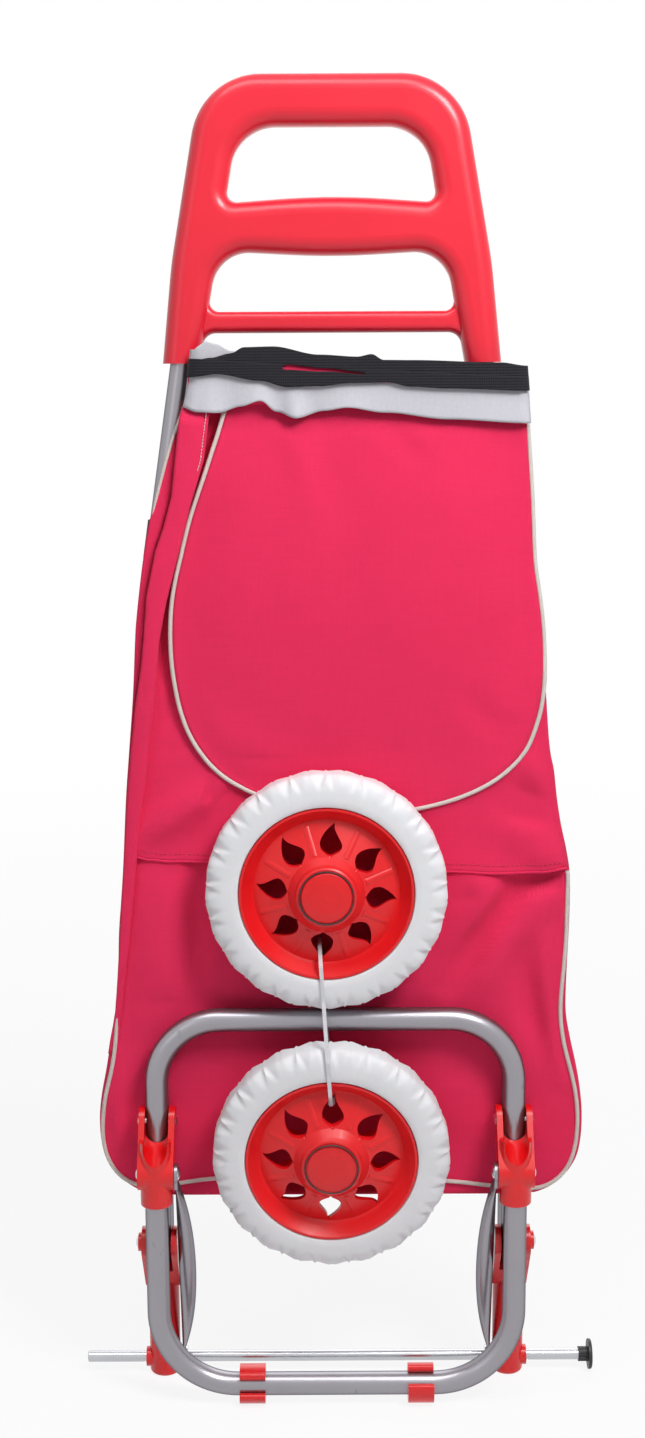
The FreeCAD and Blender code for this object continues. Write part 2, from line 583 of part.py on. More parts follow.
def handle_outlines():
    """The bow, the grip window and the open window between the legs."""
    shoulder_z = HANDLE_TOP_Z - HANDLE_SHOULDER_DOWN
    outer = tube_half_at(shoulder_z) + LEG_OUTER + 3.0
    bow = mirrored_outline([(tube_half_at(LEG_FOOT_Z) + LEG_OUTER, LEG_FOOT_Z, 0),
                            (outer, shoulder_z, 250.0),
                            (HANDLE_TOP_HALF, HANDLE_TOP_Z, HANDLE_CORNER_R)])
    window_top = HANDLE_TOP_Z - GRIP_BAR_HIGH
    window_low = window_top - GRIP_WINDOW_HIGH
    grip = mirrored_outline([(HANDLE_TOP_HALF - GRIP_WINDOW_LOW_IN, window_low, GRIP_WINDOW_LOW_R),
                             (HANDLE_TOP_HALF - GRIP_WINDOW_TOP_IN, window_top, GRIP_WINDOW_R)],
                            middle=(window_low + LOWER_BAR_SAG, BULGE_R))
    below = LEG_FOOT_Z - 10.0
    top = SECOND_WINDOW_TOP_Z
    opening = mirrored_outline([(leg_inner_at(below), below, 0),
                                (leg_inner_at(top), top, SECOND_WINDOW_R)],
                               top_middle=(top - LOWER_BAR_SAG + 1.0, BULGE_R))
    return bow, grip, opening


def mirrored_outline(half, middle=None, top_middle=None):
    """A closed outline from its right half, listed upwards as (x, z, radius)."""
    points = [(x, z) for x, z, _ in half]
    radii = [r for _, _, r in half]
    if top_middle:
        points.append((0.0, top_middle[0]))
        radii.append(top_middle[1])
    points += [(-x, z) for x, z, _ in reversed(half)]
    radii += [r for _, _, r in reversed(half)]
    if middle:
        points.append((0.0, middle[0]))
        radii.append(middle[1])
    return outline_xz(points, radii)


# ---------------------------------------------------------------- platform, feet and struts
def platform_tube():
    """The U that carries the bag when it is down; here it stands folded up."""
    foot = PLATFORM_PIVOT_Z - TUBE_END_LAP
    points = [vec(-FRAME_HALF, PLATFORM_Y, foot), vec(-FRAME_HALF, PLATFORM_Y, PLATFORM_BAR_Z),
              vec(FRAME_HALF, PLATFORM_Y, PLATFORM_BAR_Z), vec(FRAME_HALF, PLATFORM_Y, foot)]
    tube = bent_tube(points, [0, PLATFORM_BEND_R, PLATFORM_BEND_R, 0])
    for side in SIDES.values():
        x = side * FRAME_HALF
        for z in (PLATFORM_PIVOT_Z, CONNECTOR_PIVOT_Z):
            tube = tube.cut(cross_hole(x, PLATFORM_Y, z, RIVET_R + RUN_GAP, 2 * TUBE_R))
        nose = rod(TUBE_END_LAP, 4 * TUBE_R, vec(x - 2 * TUBE_R, PLATFORM_Y, PLATFORM_PIVOT_Z), X_AXIS)
        block = box_between(vec(x - 2 * TUBE_R, PLATFORM_Y - 2 * TUBE_R, foot - 1),
                            vec(x + 2 * TUBE_R, PLATFORM_Y + 2 * TUBE_R, PLATFORM_PIVOT_Z))
        tube = tube.cut(block.cut(nose))
    return tube


def connector():
    """Right clevis over the platform tube, with the feet tube's socket in front of it."""
    x = FRAME_HALF
    height = CONNECTOR_SLEEVE_TOP - CONNECTOR_SLEEVE_LOW
    sleeve = rod(SLEEVE_R, height, vec(x, FEET_Y, CONNECTOR_SLEEVE_LOW), Z_AXIS)
    sleeve = sleeve.makeFillet(CONNECTOR_EASE, edges_at_height(sleeve, CONNECTOR_SLEEVE_LOW))
    pivot = vec(0, PLATFORM_Y, CONNECTOR_PIVOT_Z)
    root = vec(0, FEET_Y, CONNECTOR_RIVET_Z)
    cheeks = tapered_link(pivot, CHEEK_R - 1, root, CHEEK_R, x - CLEVIS_HALF, x + CLEVIS_HALF)
    body = sleeve.fuse(cheeks)
    gap = CHEEK_GAP_HALF
    behind = box_between(vec(x - gap, FEET_Y + SLEEVE_R, CONNECTOR_SLEEVE_LOW - 40),
                         vec(x + gap, PLATFORM_Y + 3 * SLEEVE_R, CONNECTOR_PIVOT_Z + 40))
    body = body.cut(behind).cut(saddle(x))
    socket_top = CONNECTOR_RIVET_Z + FEET_TOP_LAP + FIT_GAP
    socket = rod(TUBE_R + FIT_GAP, socket_top - CONNECTOR_SLEEVE_LOW + 1,
                 vec(x, FEET_Y, CONNECTOR_SLEEVE_LOW - 1), Z_AXIS)
    body = body.cut(socket)
    body = body.cut(cross_hole(x, PLATFORM_Y, CONNECTOR_PIVOT_Z, RIVET_R + RUN_GAP, 2 * SLEEVE_R))
    body = body.cut(cross_hole(x, FEET_Y, CONNECTOR_RIVET_Z, RIVET_R + RUN_GAP, 2 * SLEEVE_R))
    return body.removeSplitter()


def saddle(x):
    """Room for the platform tube as it comes down onto the connector, with its round seat."""
    swing = linkage()["feet_swing"] + math.radians(FOLD_ANGLE)
    pivot = vec(x, PLATFORM_Y, CONNECTOR_PIVOT_Z)
    final = vec(0, -math.sin(swing), math.cos(swing))
    gap = CHEEK_GAP_HALF
    seat = rod(gap, 60.0, pivot - final * 5.0, final)
    far = pivot + final * 60.0
    corners = [pivot, far, far + vec(0, 0, 90), pivot + vec(0, 0, 60), pivot]
    wedge = Part.Face(Part.makePolygon(corners)).extrude(vec(2 * gap, 0, 0))
    wedge.translate(vec(-gap, 0, 0))
    return seat.fuse(wedge)


def feet_tube():
    """The U that stands on the ground in front, here hanging folded."""
    top = CONNECTOR_RIVET_Z + FEET_TOP_LAP
    points = [vec(-FRAME_HALF, FEET_Y, top), vec(-FRAME_HALF, FEET_Y, FEET_BAR_Z),
              vec(FRAME_HALF, FEET_Y, FEET_BAR_Z), vec(FRAME_HALF, FEET_Y, top)]
    tube = bent_tube(points, [0, FEET_BEND_R, FEET_BEND_R, 0])
    for side in SIDES.values():
        hole = cross_hole(side * FRAME_HALF, FEET_Y, CONNECTOR_RIVET_Z, RIVET_R + RUN_GAP, 2 * TUBE_R)
        tube = tube.cut(hole)
    return tube


def foot_clip(name):
    """A C-shaped clip snapped on the feet bar; turn is how far its mouth leans up from the front."""
    x = SIDES[name] * CLIP_OFFSET - CLIP_WIDTH / 2
    centre = vec(x, FEET_Y, FEET_BAR_Z)
    ring = rod(CLIP_R, CLIP_WIDTH, centre, X_AXIS)
    ring = ring.cut(rod(TUBE_R + FIT_GAP, CLIP_WIDTH, centre, X_AXIS))
    lips = []
    corners = [centre]
    for sign in (-1.0, 1.0):
        angle = math.radians(CLIP_TURNS[name] + sign * CLIP_MOUTH / 2)
        out = vec(0, -math.cos(angle), math.sin(angle))
        corners.append(centre + out * 3 * CLIP_R)
        lip_centre = centre + out * (CLIP_R - CLIP_WALL / 2)
        lips.append(rod(CLIP_WALL / 2, CLIP_WIDTH, lip_centre, X_AXIS))
    corners.append(centre)
    mouth = Part.Face(Part.makePolygon(corners)).extrude(vec(CLIP_WIDTH, 0, 0))
    return ring.cut(mouth).fuse(lips).removeSplitter()


def strut():
    """Right strut: tube flattened at both ends, with an eye on the axle and one on the connector."""
    face = FRAME_HALF - STRUT_PLANE
    foot = vec(face, 0, AXLE_Z)
    head = vec(face, FEET_Y, CONNECTOR_RIVET_Z)
    along = (head - foot).normalize()
    length = (head - foot).Length
    first = STRUT_EYE_R + STRUT_EYE_CLEAR
    quarter = (length - 2 * first) / 4
    sections = [strut_section(foot + along * (first + step * quarter), along, roundness)
                for step, roundness in enumerate((0.0, 0.8, 1.0, 0.8, 0.0))]
    body = Part.makeLoft(sections, True, False)
    across = along.cross(X_AXIS).normalize()
    for eye, heading in ((foot, along), (head, -along)):
        plate = rod(STRUT_EYE_R, STRUT_FLAT, eye, -X_AXIS)
        side = across * (STRUT_EYE_R - STRUT_EYE_EASE)
        far = heading * (first + STRUT_EYE_EASE)
        ring = [eye + side, eye + side + far, eye - side + far, eye - side, eye + side]
        neck = Part.Face(Part.makePolygon(ring)).extrude(-X_AXIS * STRUT_FLAT)
        body = body.fuse([plate, neck])
    body = body.cut(rod(AXLE_R + RUN_GAP, 4 * STRUT_R, foot + X_AXIS, -X_AXIS))
    return body.cut(rod(RIVET_R + RUN_GAP, 4 * STRUT_R, head + X_AXIS, -X_AXIS))


def strut_section(point, along, roundness):
    """An oval that is flat beside the eyes and round at mid-length, close to the outer face."""
    inset = 0.15
    flat = STRUT_FLAT / 2 - inset
    thin = flat + (STRUT_R - flat) * roundness
    wide = STRUT_EYE_R - STRUT_EYE_EASE - inset
    wide = wide + (STRUT_R - wide) * roundness
    centre = point - X_AXIS * (thin + inset)
    across = along.cross(X_AXIS).normalize()
    if abs(wide - thin) < 1e-6:
        circle = Part.Circle(centre, along, thin)
        circle.XAxis = across
        return Part.Wire(circle.toShape())
    ellipse = Part.Ellipse(centre + across * wide, centre - X_AXIS * thin, centre)
    return Part.Wire(ellipse.toShape())


def strut_stud():
    """The strut's own half of the pivot at the connector: a headed stud, on its inner side."""
    face = FRAME_HALF - STRUT_PLANE
    return rivet(face - STRUT_FLAT, face, FEET_Y, CONNECTOR_RIVET_Z, heads=(True, False))


def connector_pivot():
    """Rivet through both cheeks of the connector and the platform tube between them."""
    return rivet(FRAME_HALF - CLEVIS_HALF, FRAME_HALF + CLEVIS_HALF, PLATFORM_Y, CONNECTOR_PIVOT_Z)


def bracket_rivet():
    """Rivet of the platform tube in the bracket; flush inside, so that the strut passes it."""
    outer = FRAME_HALF + CLEVIS_HALF + PIVOT_BOSS_OUT
    return rivet(FRAME_HALF - CLEVIS_HALF, outer, PLATFORM_Y, PLATFORM_PIVOT_Z,
                 heads=(False, True))


def feet_tube_rivet():
    """Holds the feet tube in its socket; flush inside, so that the strut passes it."""
    return rivet(FRAME_HALF - CLEVIS_HALF, FRAME_HALF + CLEVIS_HALF, FEET_Y, CONNECTOR_RIVET_Z,
                 heads=(False, True))


# ---------------------------------------------------------------- wheels
def ring_solid(points, z):
    """A turned solid about a wheel's axis, from (radius, distance from its back face) pairs."""
    loop = [vec(r, WHEEL_BACK_Y - a, z) for r, a in points]
    face = Part.Face(Part.makePolygon(loop + loop[:1]))
    return face.revolve(vec(0, 0, z), Y_AXIS, 360)


def tyre(z):
    """Foam tyre: flat walls, a rounded crown and notched shoulders."""
    seat = RIM_R + TYRE_SEAT_GAP
    half = [(seat, TYRE_SHOULDER), (seat + TYRE_SHOULDER, 0), (WHEEL_R - TYRE_CROWN, 0),
            (WHEEL_R - TYRE_SHOULDER, TYRE_SHOULDER), (WHEEL_R, TYRE_CROWN)]
    front = [(r, TYRE_WIDTH - a) for r, a in reversed(half)]
    body = ring_solid(half + front, z)
    notches = []
    for back in (True, False):
        first = tread_notch(z, back)
        for index in range(TREAD_NOTCHES):
            copy = first.copy()
            copy.rotate(vec(0, 0, z), Y_AXIS, 360.0 * (index + 0.5 * back) / TREAD_NOTCHES)
            notches.append(copy)
    return body.cut(notches)


def tread_notch(z, back):
    """A V groove that runs over one shoulder of the tyre, slanting like the tread."""
    reach = 1.5 * TYRE_CROWN
    width = 2 * math.pi * WHEEL_R / TREAD_NOTCHES * 0.25
    groove = [vec(-width, 0, TREAD_DEPTH), vec(width, 0, TREAD_DEPTH), vec(0, 0, -TREAD_DEPTH)]
    prism = Part.Face(Part.makePolygon(groove + groove[:1])).extrude(vec(0, 2 * reach, 0))
    prism.translate(vec(0, -reach, 0))
    sense = -1.0 if back else 1.0
    prism.rotate(vec(0, 0, 0), Z_AXIS, -sense * TREAD_SLANT)
    prism.rotate(vec(0, 0, 0), X_AXIS, sense * 45.0)
    inward = (TYRE_CROWN + TYRE_SHOULDER) / 3
    shoulder_y = WHEEL_BACK_Y - (inward if back else TYRE_WIDTH - inward)
    prism.translate(vec(0, shoulder_y, z + WHEEL_R - inward))
    return prism


def petal(z):
    """One flame-shaped opening of the rim, its tip curled to one side."""
    length = PETAL_OUTER - PETAL_INNER
    belly = PETAL_INNER + PETAL_BELLY * length
    shoulder = PETAL_INNER + PETAL_SHOULDER * length
    tip = vec(PETAL_CURL, 0, PETAL_OUTER)
    foot = vec(0, 0, PETAL_INNER)
    right = [foot, vec(PETAL_HALF, 0, belly),
             vec(PETAL_NARROW["right"] * PETAL_HALF, 0, shoulder), tip]
    left = [tip, vec(-PETAL_NARROW["left"] * PETAL_HALF, 0, shoulder),
            vec(-PETAL_HALF, 0, belly), foot]
    edges = []
    for points in (right, left):
        curve = Part.BSplineCurve()
        curve.interpolate([p + vec(0, WHEEL_BACK_Y + TYRE_WIDTH / 2, z) for p in points])
        edges.append(curve.toShape())
    return Part.Face(Part.Wire(edges)).extrude(vec(0, -2 * TYRE_WIDTH, 0))


def wheel_rim(z):
    """Rim: barrel, sloping lip, dished web with petals cut through it, ribs and hub."""
    lip = TYRE_WIDTH - RIM_LIP_DOWN
    bore = AXLE_R + RUN_GAP
    barrel = RIM_R - RIM_WALL
    back = WEB_FROM_BACK
    front = back + WEB_THICK
    dish = WEB_DISH
    cap_wall = HUB_CAP_R + FIT_GAP
    profile = [(bore, 0), (bore + HUB_CORE_WALL, 0), (bore + HUB_CORE_WALL, back + dish),
               (HUB_R, back + dish), (DISC_R, back), (barrel, back), (barrel, RIM_BACK_SET),
               (RIM_R, RIM_BACK_SET), (RIM_R, lip), (RIM_R - RIM_LIP_THICK, lip),
               (DISC_R + WEB_EDGE, front + WEB_EDGE), (DISC_R, front),
               (HUB_R + HUB_FLARE, front + dish), (HUB_R + HUB_NECK[0], HUB_LENGTH - HUB_NECK[1]),
               (HUB_R + HUB_EASE[0], HUB_LENGTH - HUB_EASE[1]),
               (HUB_R - HUB_EASE[1], HUB_LENGTH), (cap_wall, HUB_LENGTH),
               (cap_wall, HUB_LENGTH - HUB_CAP_SEAT), (bore, HUB_LENGTH - HUB_CAP_SEAT)]
    body = ring_solid(profile, z)
    first_rib = box_between(vec(-RIB_THICK / 2, WHEEL_BACK_Y - back - 1, z + bore + 2),
                            vec(RIB_THICK / 2, WHEEL_BACK_Y - RIB_FROM_BACK, z + RIM_R - 1))
    foot = vec(0, WHEEL_BACK_Y - front - dish, z + HUB_R + HUB_FLARE)
    edge = vec(0, WHEEL_BACK_Y - front, z + DISC_R)
    between = 180.0 / PETALS
    ribs = around(first_rib, z, between)
    ridges = around(web_ridge(foot, edge), z, between)
    cuts = around(petal(z), z) + around(web_crease(foot, edge), z)
    return body.fuse(ribs + ridges).cut(cuts).removeSplitter()


def around(shape, z, first=0.0):
    """Copies of a shape, one for each petal, about a wheel's axis."""
    copies = []
    for index in range(PETALS):
        copy = shape.copy()
        copy.rotate(vec(0, 0, z), Y_AXIS, first + 360.0 * index / PETALS)
        copies.append(copy)
    return copies


def web_ridge(foot, edge):
    """Low round ridge that lies along the web from near the hub towards the rim."""
    heading = (edge - foot).normalize()
    inwards = vec(0, heading.z, -heading.y)
    start = foot + heading * 2.0 + inwards * (RIDGE_R - RIDGE_HIGH)
    ridge = rod(RIDGE_R, (edge - foot).Length - 5.0, start, heading)
    under = inwards * (WEB_THICK / 2)
    corners = [foot + under, edge + under, edge + inwards * 3 * RIDGE_R, foot + inwards * 3 * RIDGE_R]
    below = Part.Face(Part.makePolygon(corners + corners[:1])).extrude(vec(4 * RIDGE_R, 0, 0))
    below.translate(vec(-2 * RIDGE_R, 0, 0))
    return ridge.cut(below)


def web_crease(foot, edge):
    """Crease in the web that runs from the petal's foot to a point near the hub."""
    heading = (edge - foot).normalize()
    start = foot + heading * (PETAL_INNER - HUB_R - HUB_FLARE + CREASE_R)
    return Part.makeCone(CREASE_R, 0.05, CREASE_REACH, start, -heading)


def hub_cap(z):
    """Round cap that snaps into the hub and hides the axle end."""
    floor = HUB_LENGTH - HUB_CAP_SEAT + FIT_GAP
    edge = HUB_CAP_EDGE
    points = [(0, floor), (HUB_CAP_R, floor), (HUB_CAP_R, HUB_CAP_FRONT - 2 * edge),
              (HUB_CAP_R - edge, HUB_CAP_FRONT - edge),
              (0.6 * HUB_CAP_R, HUB_CAP_FRONT - edge / 4), (0, HUB_CAP_FRONT)]
    return ring_solid(points, z)


def wheel_middle(name):
    """Middle of a wheel as it is tied on."""
    return vec(WHEEL_ASIDE[name], WHEEL_BACK_Y - TYRE_WIDTH / 2 - WHEEL_FORWARD[name], WHEEL_Z[name])


def as_tied(shape, name):
    """A wheel's piece turned, tilted and moved to where it is tied on."""
    upright = vec(0, WHEEL_BACK_Y - TYRE_WIDTH / 2, WHEEL_Z[name])
    shape.rotate(upright, Y_AXIS, WHEEL_TURN[name])
    shape.rotate(upright, X_AXIS, WHEEL_TILT[name])
    shape.translate(wheel_middle(name) - upright)
    return shape


def beside_wheel(name, up, front):
    """Point in the tie's plane, up from a wheel's axis and forward from its back face."""
    tilt = math.radians(WHEEL_TILT[name])
    middle = wheel_middle(name)
    ahead = front - TYRE_WIDTH / 2
    return vec(WHEEL_ASIDE["lower"], middle.y - up * math.sin(tilt) - ahead * math.cos(tilt),
               middle.z + up * math.cos(tilt) - ahead * math.sin(tilt))


def cable_tie():
    """Flat tie looped through a petal of each wheel and behind the platform's bar."""
    through = (PETAL_INNER + PETAL_OUTER) / 2
    face = TYRE_WIDTH + TIE_THICK / 2 + LAYER_GAP
    tyre_edge = WHEEL_R - TYRE_CROWN
    behind_bar = PLATFORM_Y + TUBE_R + TIE_THICK
    bar_edge = TUBE_R + TIE_BAR_EASE
    loop = [beside_wheel("upper", -through - TIE_EASE, face),
            beside_wheel("upper", -tyre_edge, face),
            beside_wheel("lower", tyre_edge, face),
            beside_wheel("lower", through + TIE_EASE, face),
            beside_wheel("lower", through, face - TIE_EASE),
            beside_wheel("lower", through, -TIE_THICK),
            vec(WHEEL_ASIDE["lower"], behind_bar, PLATFORM_BAR_Z - bar_edge),
            vec(WHEEL_ASIDE["lower"], behind_bar, PLATFORM_BAR_Z + bar_edge),
            beside_wheel("upper", -through, -TIE_THICK),
            beside_wheel("upper", -through, face - TIE_EASE)]
    radii = [TIE_BEND_R] * len(loop)
    centre = Part.Wire(rounded_edges(loop, radii, closed=True))
    outer = Part.Face(centre.makeOffset2D(TIE_THICK / 2))
    inner = Part.Face(centre.makeOffset2D(-TIE_THICK / 2))
    strip = outer.cut(inner).Faces[0].extrude(vec(TIE_WIDTH, 0, 0))
    strip.translate(vec(-TIE_WIDTH / 2, 0, 0))
    half = vec(TIE_HEAD / 2, TIE_HEAD / 2, TIE_HEAD / 2)
    head_middle = beside_wheel("lower", through, WEB_FROM_BACK / 2)
    tie = strip.fuse(box_between(head_middle - half, head_middle + half)).removeSplitter()
    tie.rotate(beside_wheel("lower", through, 0), Y_AXIS, -TIE_SLANT)
    return tie


# ---------------------------------------------------------------- bag
def bag_side(name, inset):
    """One side line of the bag, listed downwards as (x, z): it widens, less on the left."""
    side = SIDES[name]
    stations = [(MOUTH_OUT[name], BAG_TOP_Z), (NECK_OUT[name], BAG_NECK_Z),
                (SHOULDER_OUT[name], BAG_SHOULDER_Z),
                (WAIST_OUT[name], BAG_WAIST_Z[0]), (WAIST_OUT[name], BAG_WAIST_Z[1]),
                (BOTTOM_OUT[name], BAG_BULGE_Z)]
    return [(side * (tube_half_at(z) + out - inset), z) for out, z in stations]


def bag_outline(top, bottom, y, inset=0.0):
    """Outline of the flat bag between two heights."""
    left_side = clip_to_heights(bag_side("left", inset), top, bottom)
    right_side = clip_to_heights(bag_side("right", inset), top, bottom)
    corners = left_side + right_side[::-1]
    radii = [0.0] * len(corners)
    for i in range(1, len(corners) - 1):
        radii[i] = BAG_SIDE_R
    last_left = len(left_side) - 1
    bottom_r = BAG_CORNER_R - inset if bottom <= BAG_BOTTOM_Z + inset else 0.0
    radii[last_left] = bottom_r
    radii[last_left + 1] = bottom_r
    return outline_xz(corners, radii, y)


def clip_to_heights(side, top, bottom):
    """The part of a side line between two heights, listed downwards."""
    points = []
    extended = side + [(side[-1][0], -100.0)]
    for (x0, z0), (x1, z1) in zip(extended, extended[1:]):
        for limit in (top, bottom):
            if z1 < limit < z0:
                share = (z0 - limit) / (z0 - z1)
                points.append((x0 + share * (x1 - x0), limit))
        if bottom < z1 < top:
            points.append((x1, z1))
    if top >= side[0][1]:
        points.insert(0, (side[0][0], top))
    return points


def bag_body():
    """The folded bag as one flat closed body."""
    return slab(bag_outline(BAG_TOP_Z, BAG_BOTTOM_Z, BAG_FRONT_Y), BAG_BACK_Y - BAG_FRONT_Y)


def bag_front_panel():
    """Upper front panel, whose hem hangs over the lower front."""
    wire = bag_outline(BAG_TOP_Z, HEM_Z, PANEL_FRONT_Y, inset=PANEL_INSET)
    return slab(wire, PANEL_THICK)


def flap_points(y, grow=0.0):
    """Corners of the lid flap and their radii, grown sideways and downwards by an amount."""
    bottom = BAG_TOP_Z - FLAP_LENGTH
    widest = BAG_TOP_Z - FLAP_WIDEST * FLAP_LENGTH
    points = []
    for name in ("right", "left"):
        side = SIDES[name]
        mouth = tube_half_at(BAG_TOP_Z) + MOUTH_OUT[name] - FLAP_MOUTH_IN[name] + grow
        wide = tube_half_at(widest) + SHOULDER_OUT[name] - FLAP_WIDE_IN[name] + grow
        corner = tube_half_at(bottom) + SHOULDER_OUT[name] - FLAP_CORNER_IN[name] + grow
        line = [vec(side * mouth, y, BAG_TOP_Z), vec(side * wide, y, widest),
                vec(side * corner, y, bottom - grow)]
        points += line if name == "right" else line[::-1]
    return points, [0.0] + [FLAP_CORNER_R] * 4 + [0.0]


def bag_lid_flap():
    """The lid, hanging over the front with its round end down."""
    points, radii = flap_points(FLAP_FRONT_Y)
    return slab(Part.Wire(rounded_edges(points, radii, closed=True)), FLAP_THICK)


def flap_piping():
    """Cord piping round the free edge of the lid."""
    points, radii = flap_points(FLAP_FRONT_Y, PIPING_R + LAYER_GAP)
    points[0] += (points[1] - points[0]).normalize() * PIPING_R
    points[-1] += (points[-2] - points[-1]).normalize() * PIPING_R
    return sweep_round(rounded_edges(points, radii), PIPING_R)


def body_piping():
    """Cord piping along the seam of the bag's lower front, round both bottom corners."""
    edge = PIPING_R + LAYER_GAP
    top = HEM_Z - PIPING_BELOW_HEM
    wire = bag_outline(top, BAG_BOTTOM_Z - edge, BAG_FRONT_Y + PIPING_R, inset=-edge)
    start = [i for i, e in enumerate(wire.OrderedEdges) if e.CenterOfMass.z >= top - 0.01][0]
    count = len(wire.OrderedEdges)
    runs = [wire.OrderedEdges[(start + 1 + i) % count] for i in range(count - 1)]
    return sweep_round(runs, PIPING_R)


def bag_band(low, high, front):
    """One of the flat bands round the mouth of the bag."""
    left = -(tube_half_at(BAG_TOP_Z) + MOUTH_OUT["left"])
    right = tube_half_at(BAG_TOP_Z) + MOUTH_OUT["right"]
    return box_between(vec(left, front, low), vec(right, front + BAND_THICK, high))


def tube_straps():
    """Two webbing loops that hold the bag's back to the right main tube."""
    straps = []
    for z in STRAP_HEIGHTS:
        half = tube_half_at(z)
        lean = 0.0 if z <= MAIN_BEND_Z else LEAN
        along = vec(-math.sin(lean), 0, math.cos(lean))
        start = vec(half, 0, z) - along * (STRAP_WIDTH / 2)
        outer = rod(TUBE_R + SIDE_GAP + STRAP_THICK, STRAP_WIDTH, start, along)
        loop = outer.cut(rod(TUBE_R + FIT_GAP, STRAP_WIDTH, start, along))
        reach = 2 * SLEEVE_R
        front = box_between(vec(half - reach, -reach, z - reach),
                            vec(half + reach, BAG_BACK_Y + LAYER_GAP / 2, z + reach))
        straps.append(loop.cut(front))
    return Part.makeCompound(straps)


# ---------------------------------------------------------------- assembly
def sided_pieces():
    """Every right-hand piece that has a mirrored left-hand one."""
    return {"main_tube": main_tube(), "wheel_bracket": wheel_bracket(), "connector": connector(),
            "strut": strut(), "strut_stud": strut_stud(), "bag_tube_straps": tube_straps(),
            "bracket_rivet": bracket_rivet(), "connector_pivot": connector_pivot(),
            "feet_tube_rivet": feet_tube_rivet(), "axle_push_ring": axle_push_ring(),
            "handle_screw": pan_screw(tube_half_at(HANDLE_SCREW_Z), HANDLE_SCREW_Z,
                                      HANDLE_DEPTH / 2),
            "bracket_screw": pan_screw(FRAME_HALF, BRACKET_SCREW_Z, SLEEVE_R)}


def build():
    """Every node by name, in the working position."""
    nodes = {"handle": handle(), "axle": axle(), "axle_cap": axle_cap(),
             "platform_tube": platform_tube(), "feet_tube": feet_tube(),
             "cable_tie": cable_tie()}
    for name, z in zip(("lower_cross_tube", "upper_cross_tube"), CROSS_TUBE_HEIGHTS):
        nodes[name] = cross_tube(z)
    for name, right in sided_pieces().items():
        if name in GROUPED:
            nodes[name + "s"] = Part.makeCompound([right, mirrored(right)])
        else:
            nodes[name + "_right"] = right
            nodes[name + "_left"] = mirrored(right)
    for name in SIDES:
        nodes["foot_clip_" + name] = foot_clip(name)
    for name, z in WHEEL_Z.items():
        nodes[name + "_wheel_tyre"] = as_tied(tyre(z), name)
        nodes[name + "_wheel_rim"] = as_tied(wheel_rim(z), name)
        nodes[name + "_wheel_hub_cap"] = as_tied(hub_cap(z), name)
    nodes["bag_body"] = bag_body()
    nodes["bag_front_panel"] = bag_front_panel()
    nodes["bag_lid_flap"] = bag_lid_flap()
    nodes["flap_piping"] = flap_piping()
    nodes["body_piping"] = body_piping()
    lining_top = BAG_TOP_Z + LINING_HIGH
    band_front = -HANDLE_DEPTH / 2 - LAYER_GAP - BAND_THICK
    nodes["lining_band"] = bag_band(BAG_TOP_Z + LAYER_GAP, lining_top, band_front)
    nodes["webbing_band"] = bag_band(lining_top + LAYER_GAP, lining_top + BAND_HIGH, band_front)
    return nodes


def main():
    """Build, centre on the base and write one STEP file per node."""
    nodes = build()
    whole = Part.makeCompound(list(nodes.values())).optimalBoundingBox(False)
    shift = vec(-(whole.XMin + whole.XMax) / 2, -(whole.YMin + whole.YMax) / 2, -whole.ZMin)
    os.makedirs("parts", exist_ok=True)
    for name, shape in nodes.items():
        shape.translate(shift)
        shape.exportStep("parts/" + name + ".step")
    print("shift", round(shift.x, 4), round(shift.y, 4), round(shift.z, 4))
    print("size", whole.XLength, whole.YLength, whole.ZLength)
    angles = linkage()
    for key, value in angles.items():
        print(key, round(value if key == "strut_length" else math.degrees(value), 4))
    for name, shape in nodes.items():
        print(name, "solids", len(shape.Solids), "volume", round(shape.Volume, 1), shape.isValid())


main()
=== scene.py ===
"""Looks of a folding shopping trolley, packed flat: finishes, bag cloth, seams and studio.

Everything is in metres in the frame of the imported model: +X to the right of someone facing the
bag, -Y to the front, +Z up from the floor that the folded trolley stands on.
"""
import json
import logging
import math
from dataclasses import dataclass, field
from enum import Enum
from typing import Callable, Sequence

import bpy
from mathutils import Matrix, Vector, noise


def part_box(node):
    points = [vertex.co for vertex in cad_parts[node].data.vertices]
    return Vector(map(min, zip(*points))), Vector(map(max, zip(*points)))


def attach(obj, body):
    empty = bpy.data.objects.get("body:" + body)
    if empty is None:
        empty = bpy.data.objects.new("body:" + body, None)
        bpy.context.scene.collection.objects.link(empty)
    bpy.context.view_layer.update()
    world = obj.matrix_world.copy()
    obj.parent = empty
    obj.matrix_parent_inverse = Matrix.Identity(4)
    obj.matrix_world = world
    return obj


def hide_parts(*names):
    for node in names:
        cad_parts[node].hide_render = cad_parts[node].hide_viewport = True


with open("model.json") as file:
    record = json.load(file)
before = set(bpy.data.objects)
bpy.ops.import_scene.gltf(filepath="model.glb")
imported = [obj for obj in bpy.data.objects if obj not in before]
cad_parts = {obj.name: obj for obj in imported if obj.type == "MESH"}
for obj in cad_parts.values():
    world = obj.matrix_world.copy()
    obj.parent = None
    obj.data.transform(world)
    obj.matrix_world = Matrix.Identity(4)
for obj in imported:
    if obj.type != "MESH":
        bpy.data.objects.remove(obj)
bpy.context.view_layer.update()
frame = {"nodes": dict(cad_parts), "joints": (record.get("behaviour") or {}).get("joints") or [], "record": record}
log = logging.getLogger("trolley")

MM = 0.001
Colour = tuple[float, float, float]
Point = tuple[float, float]


def shaded(colour: Colour, share: float, lift: float = 0.0) -> Colour:
    """A colour times a share, lifted towards white."""
    return tuple(min(1.0, part * share + lift) for part in colour)


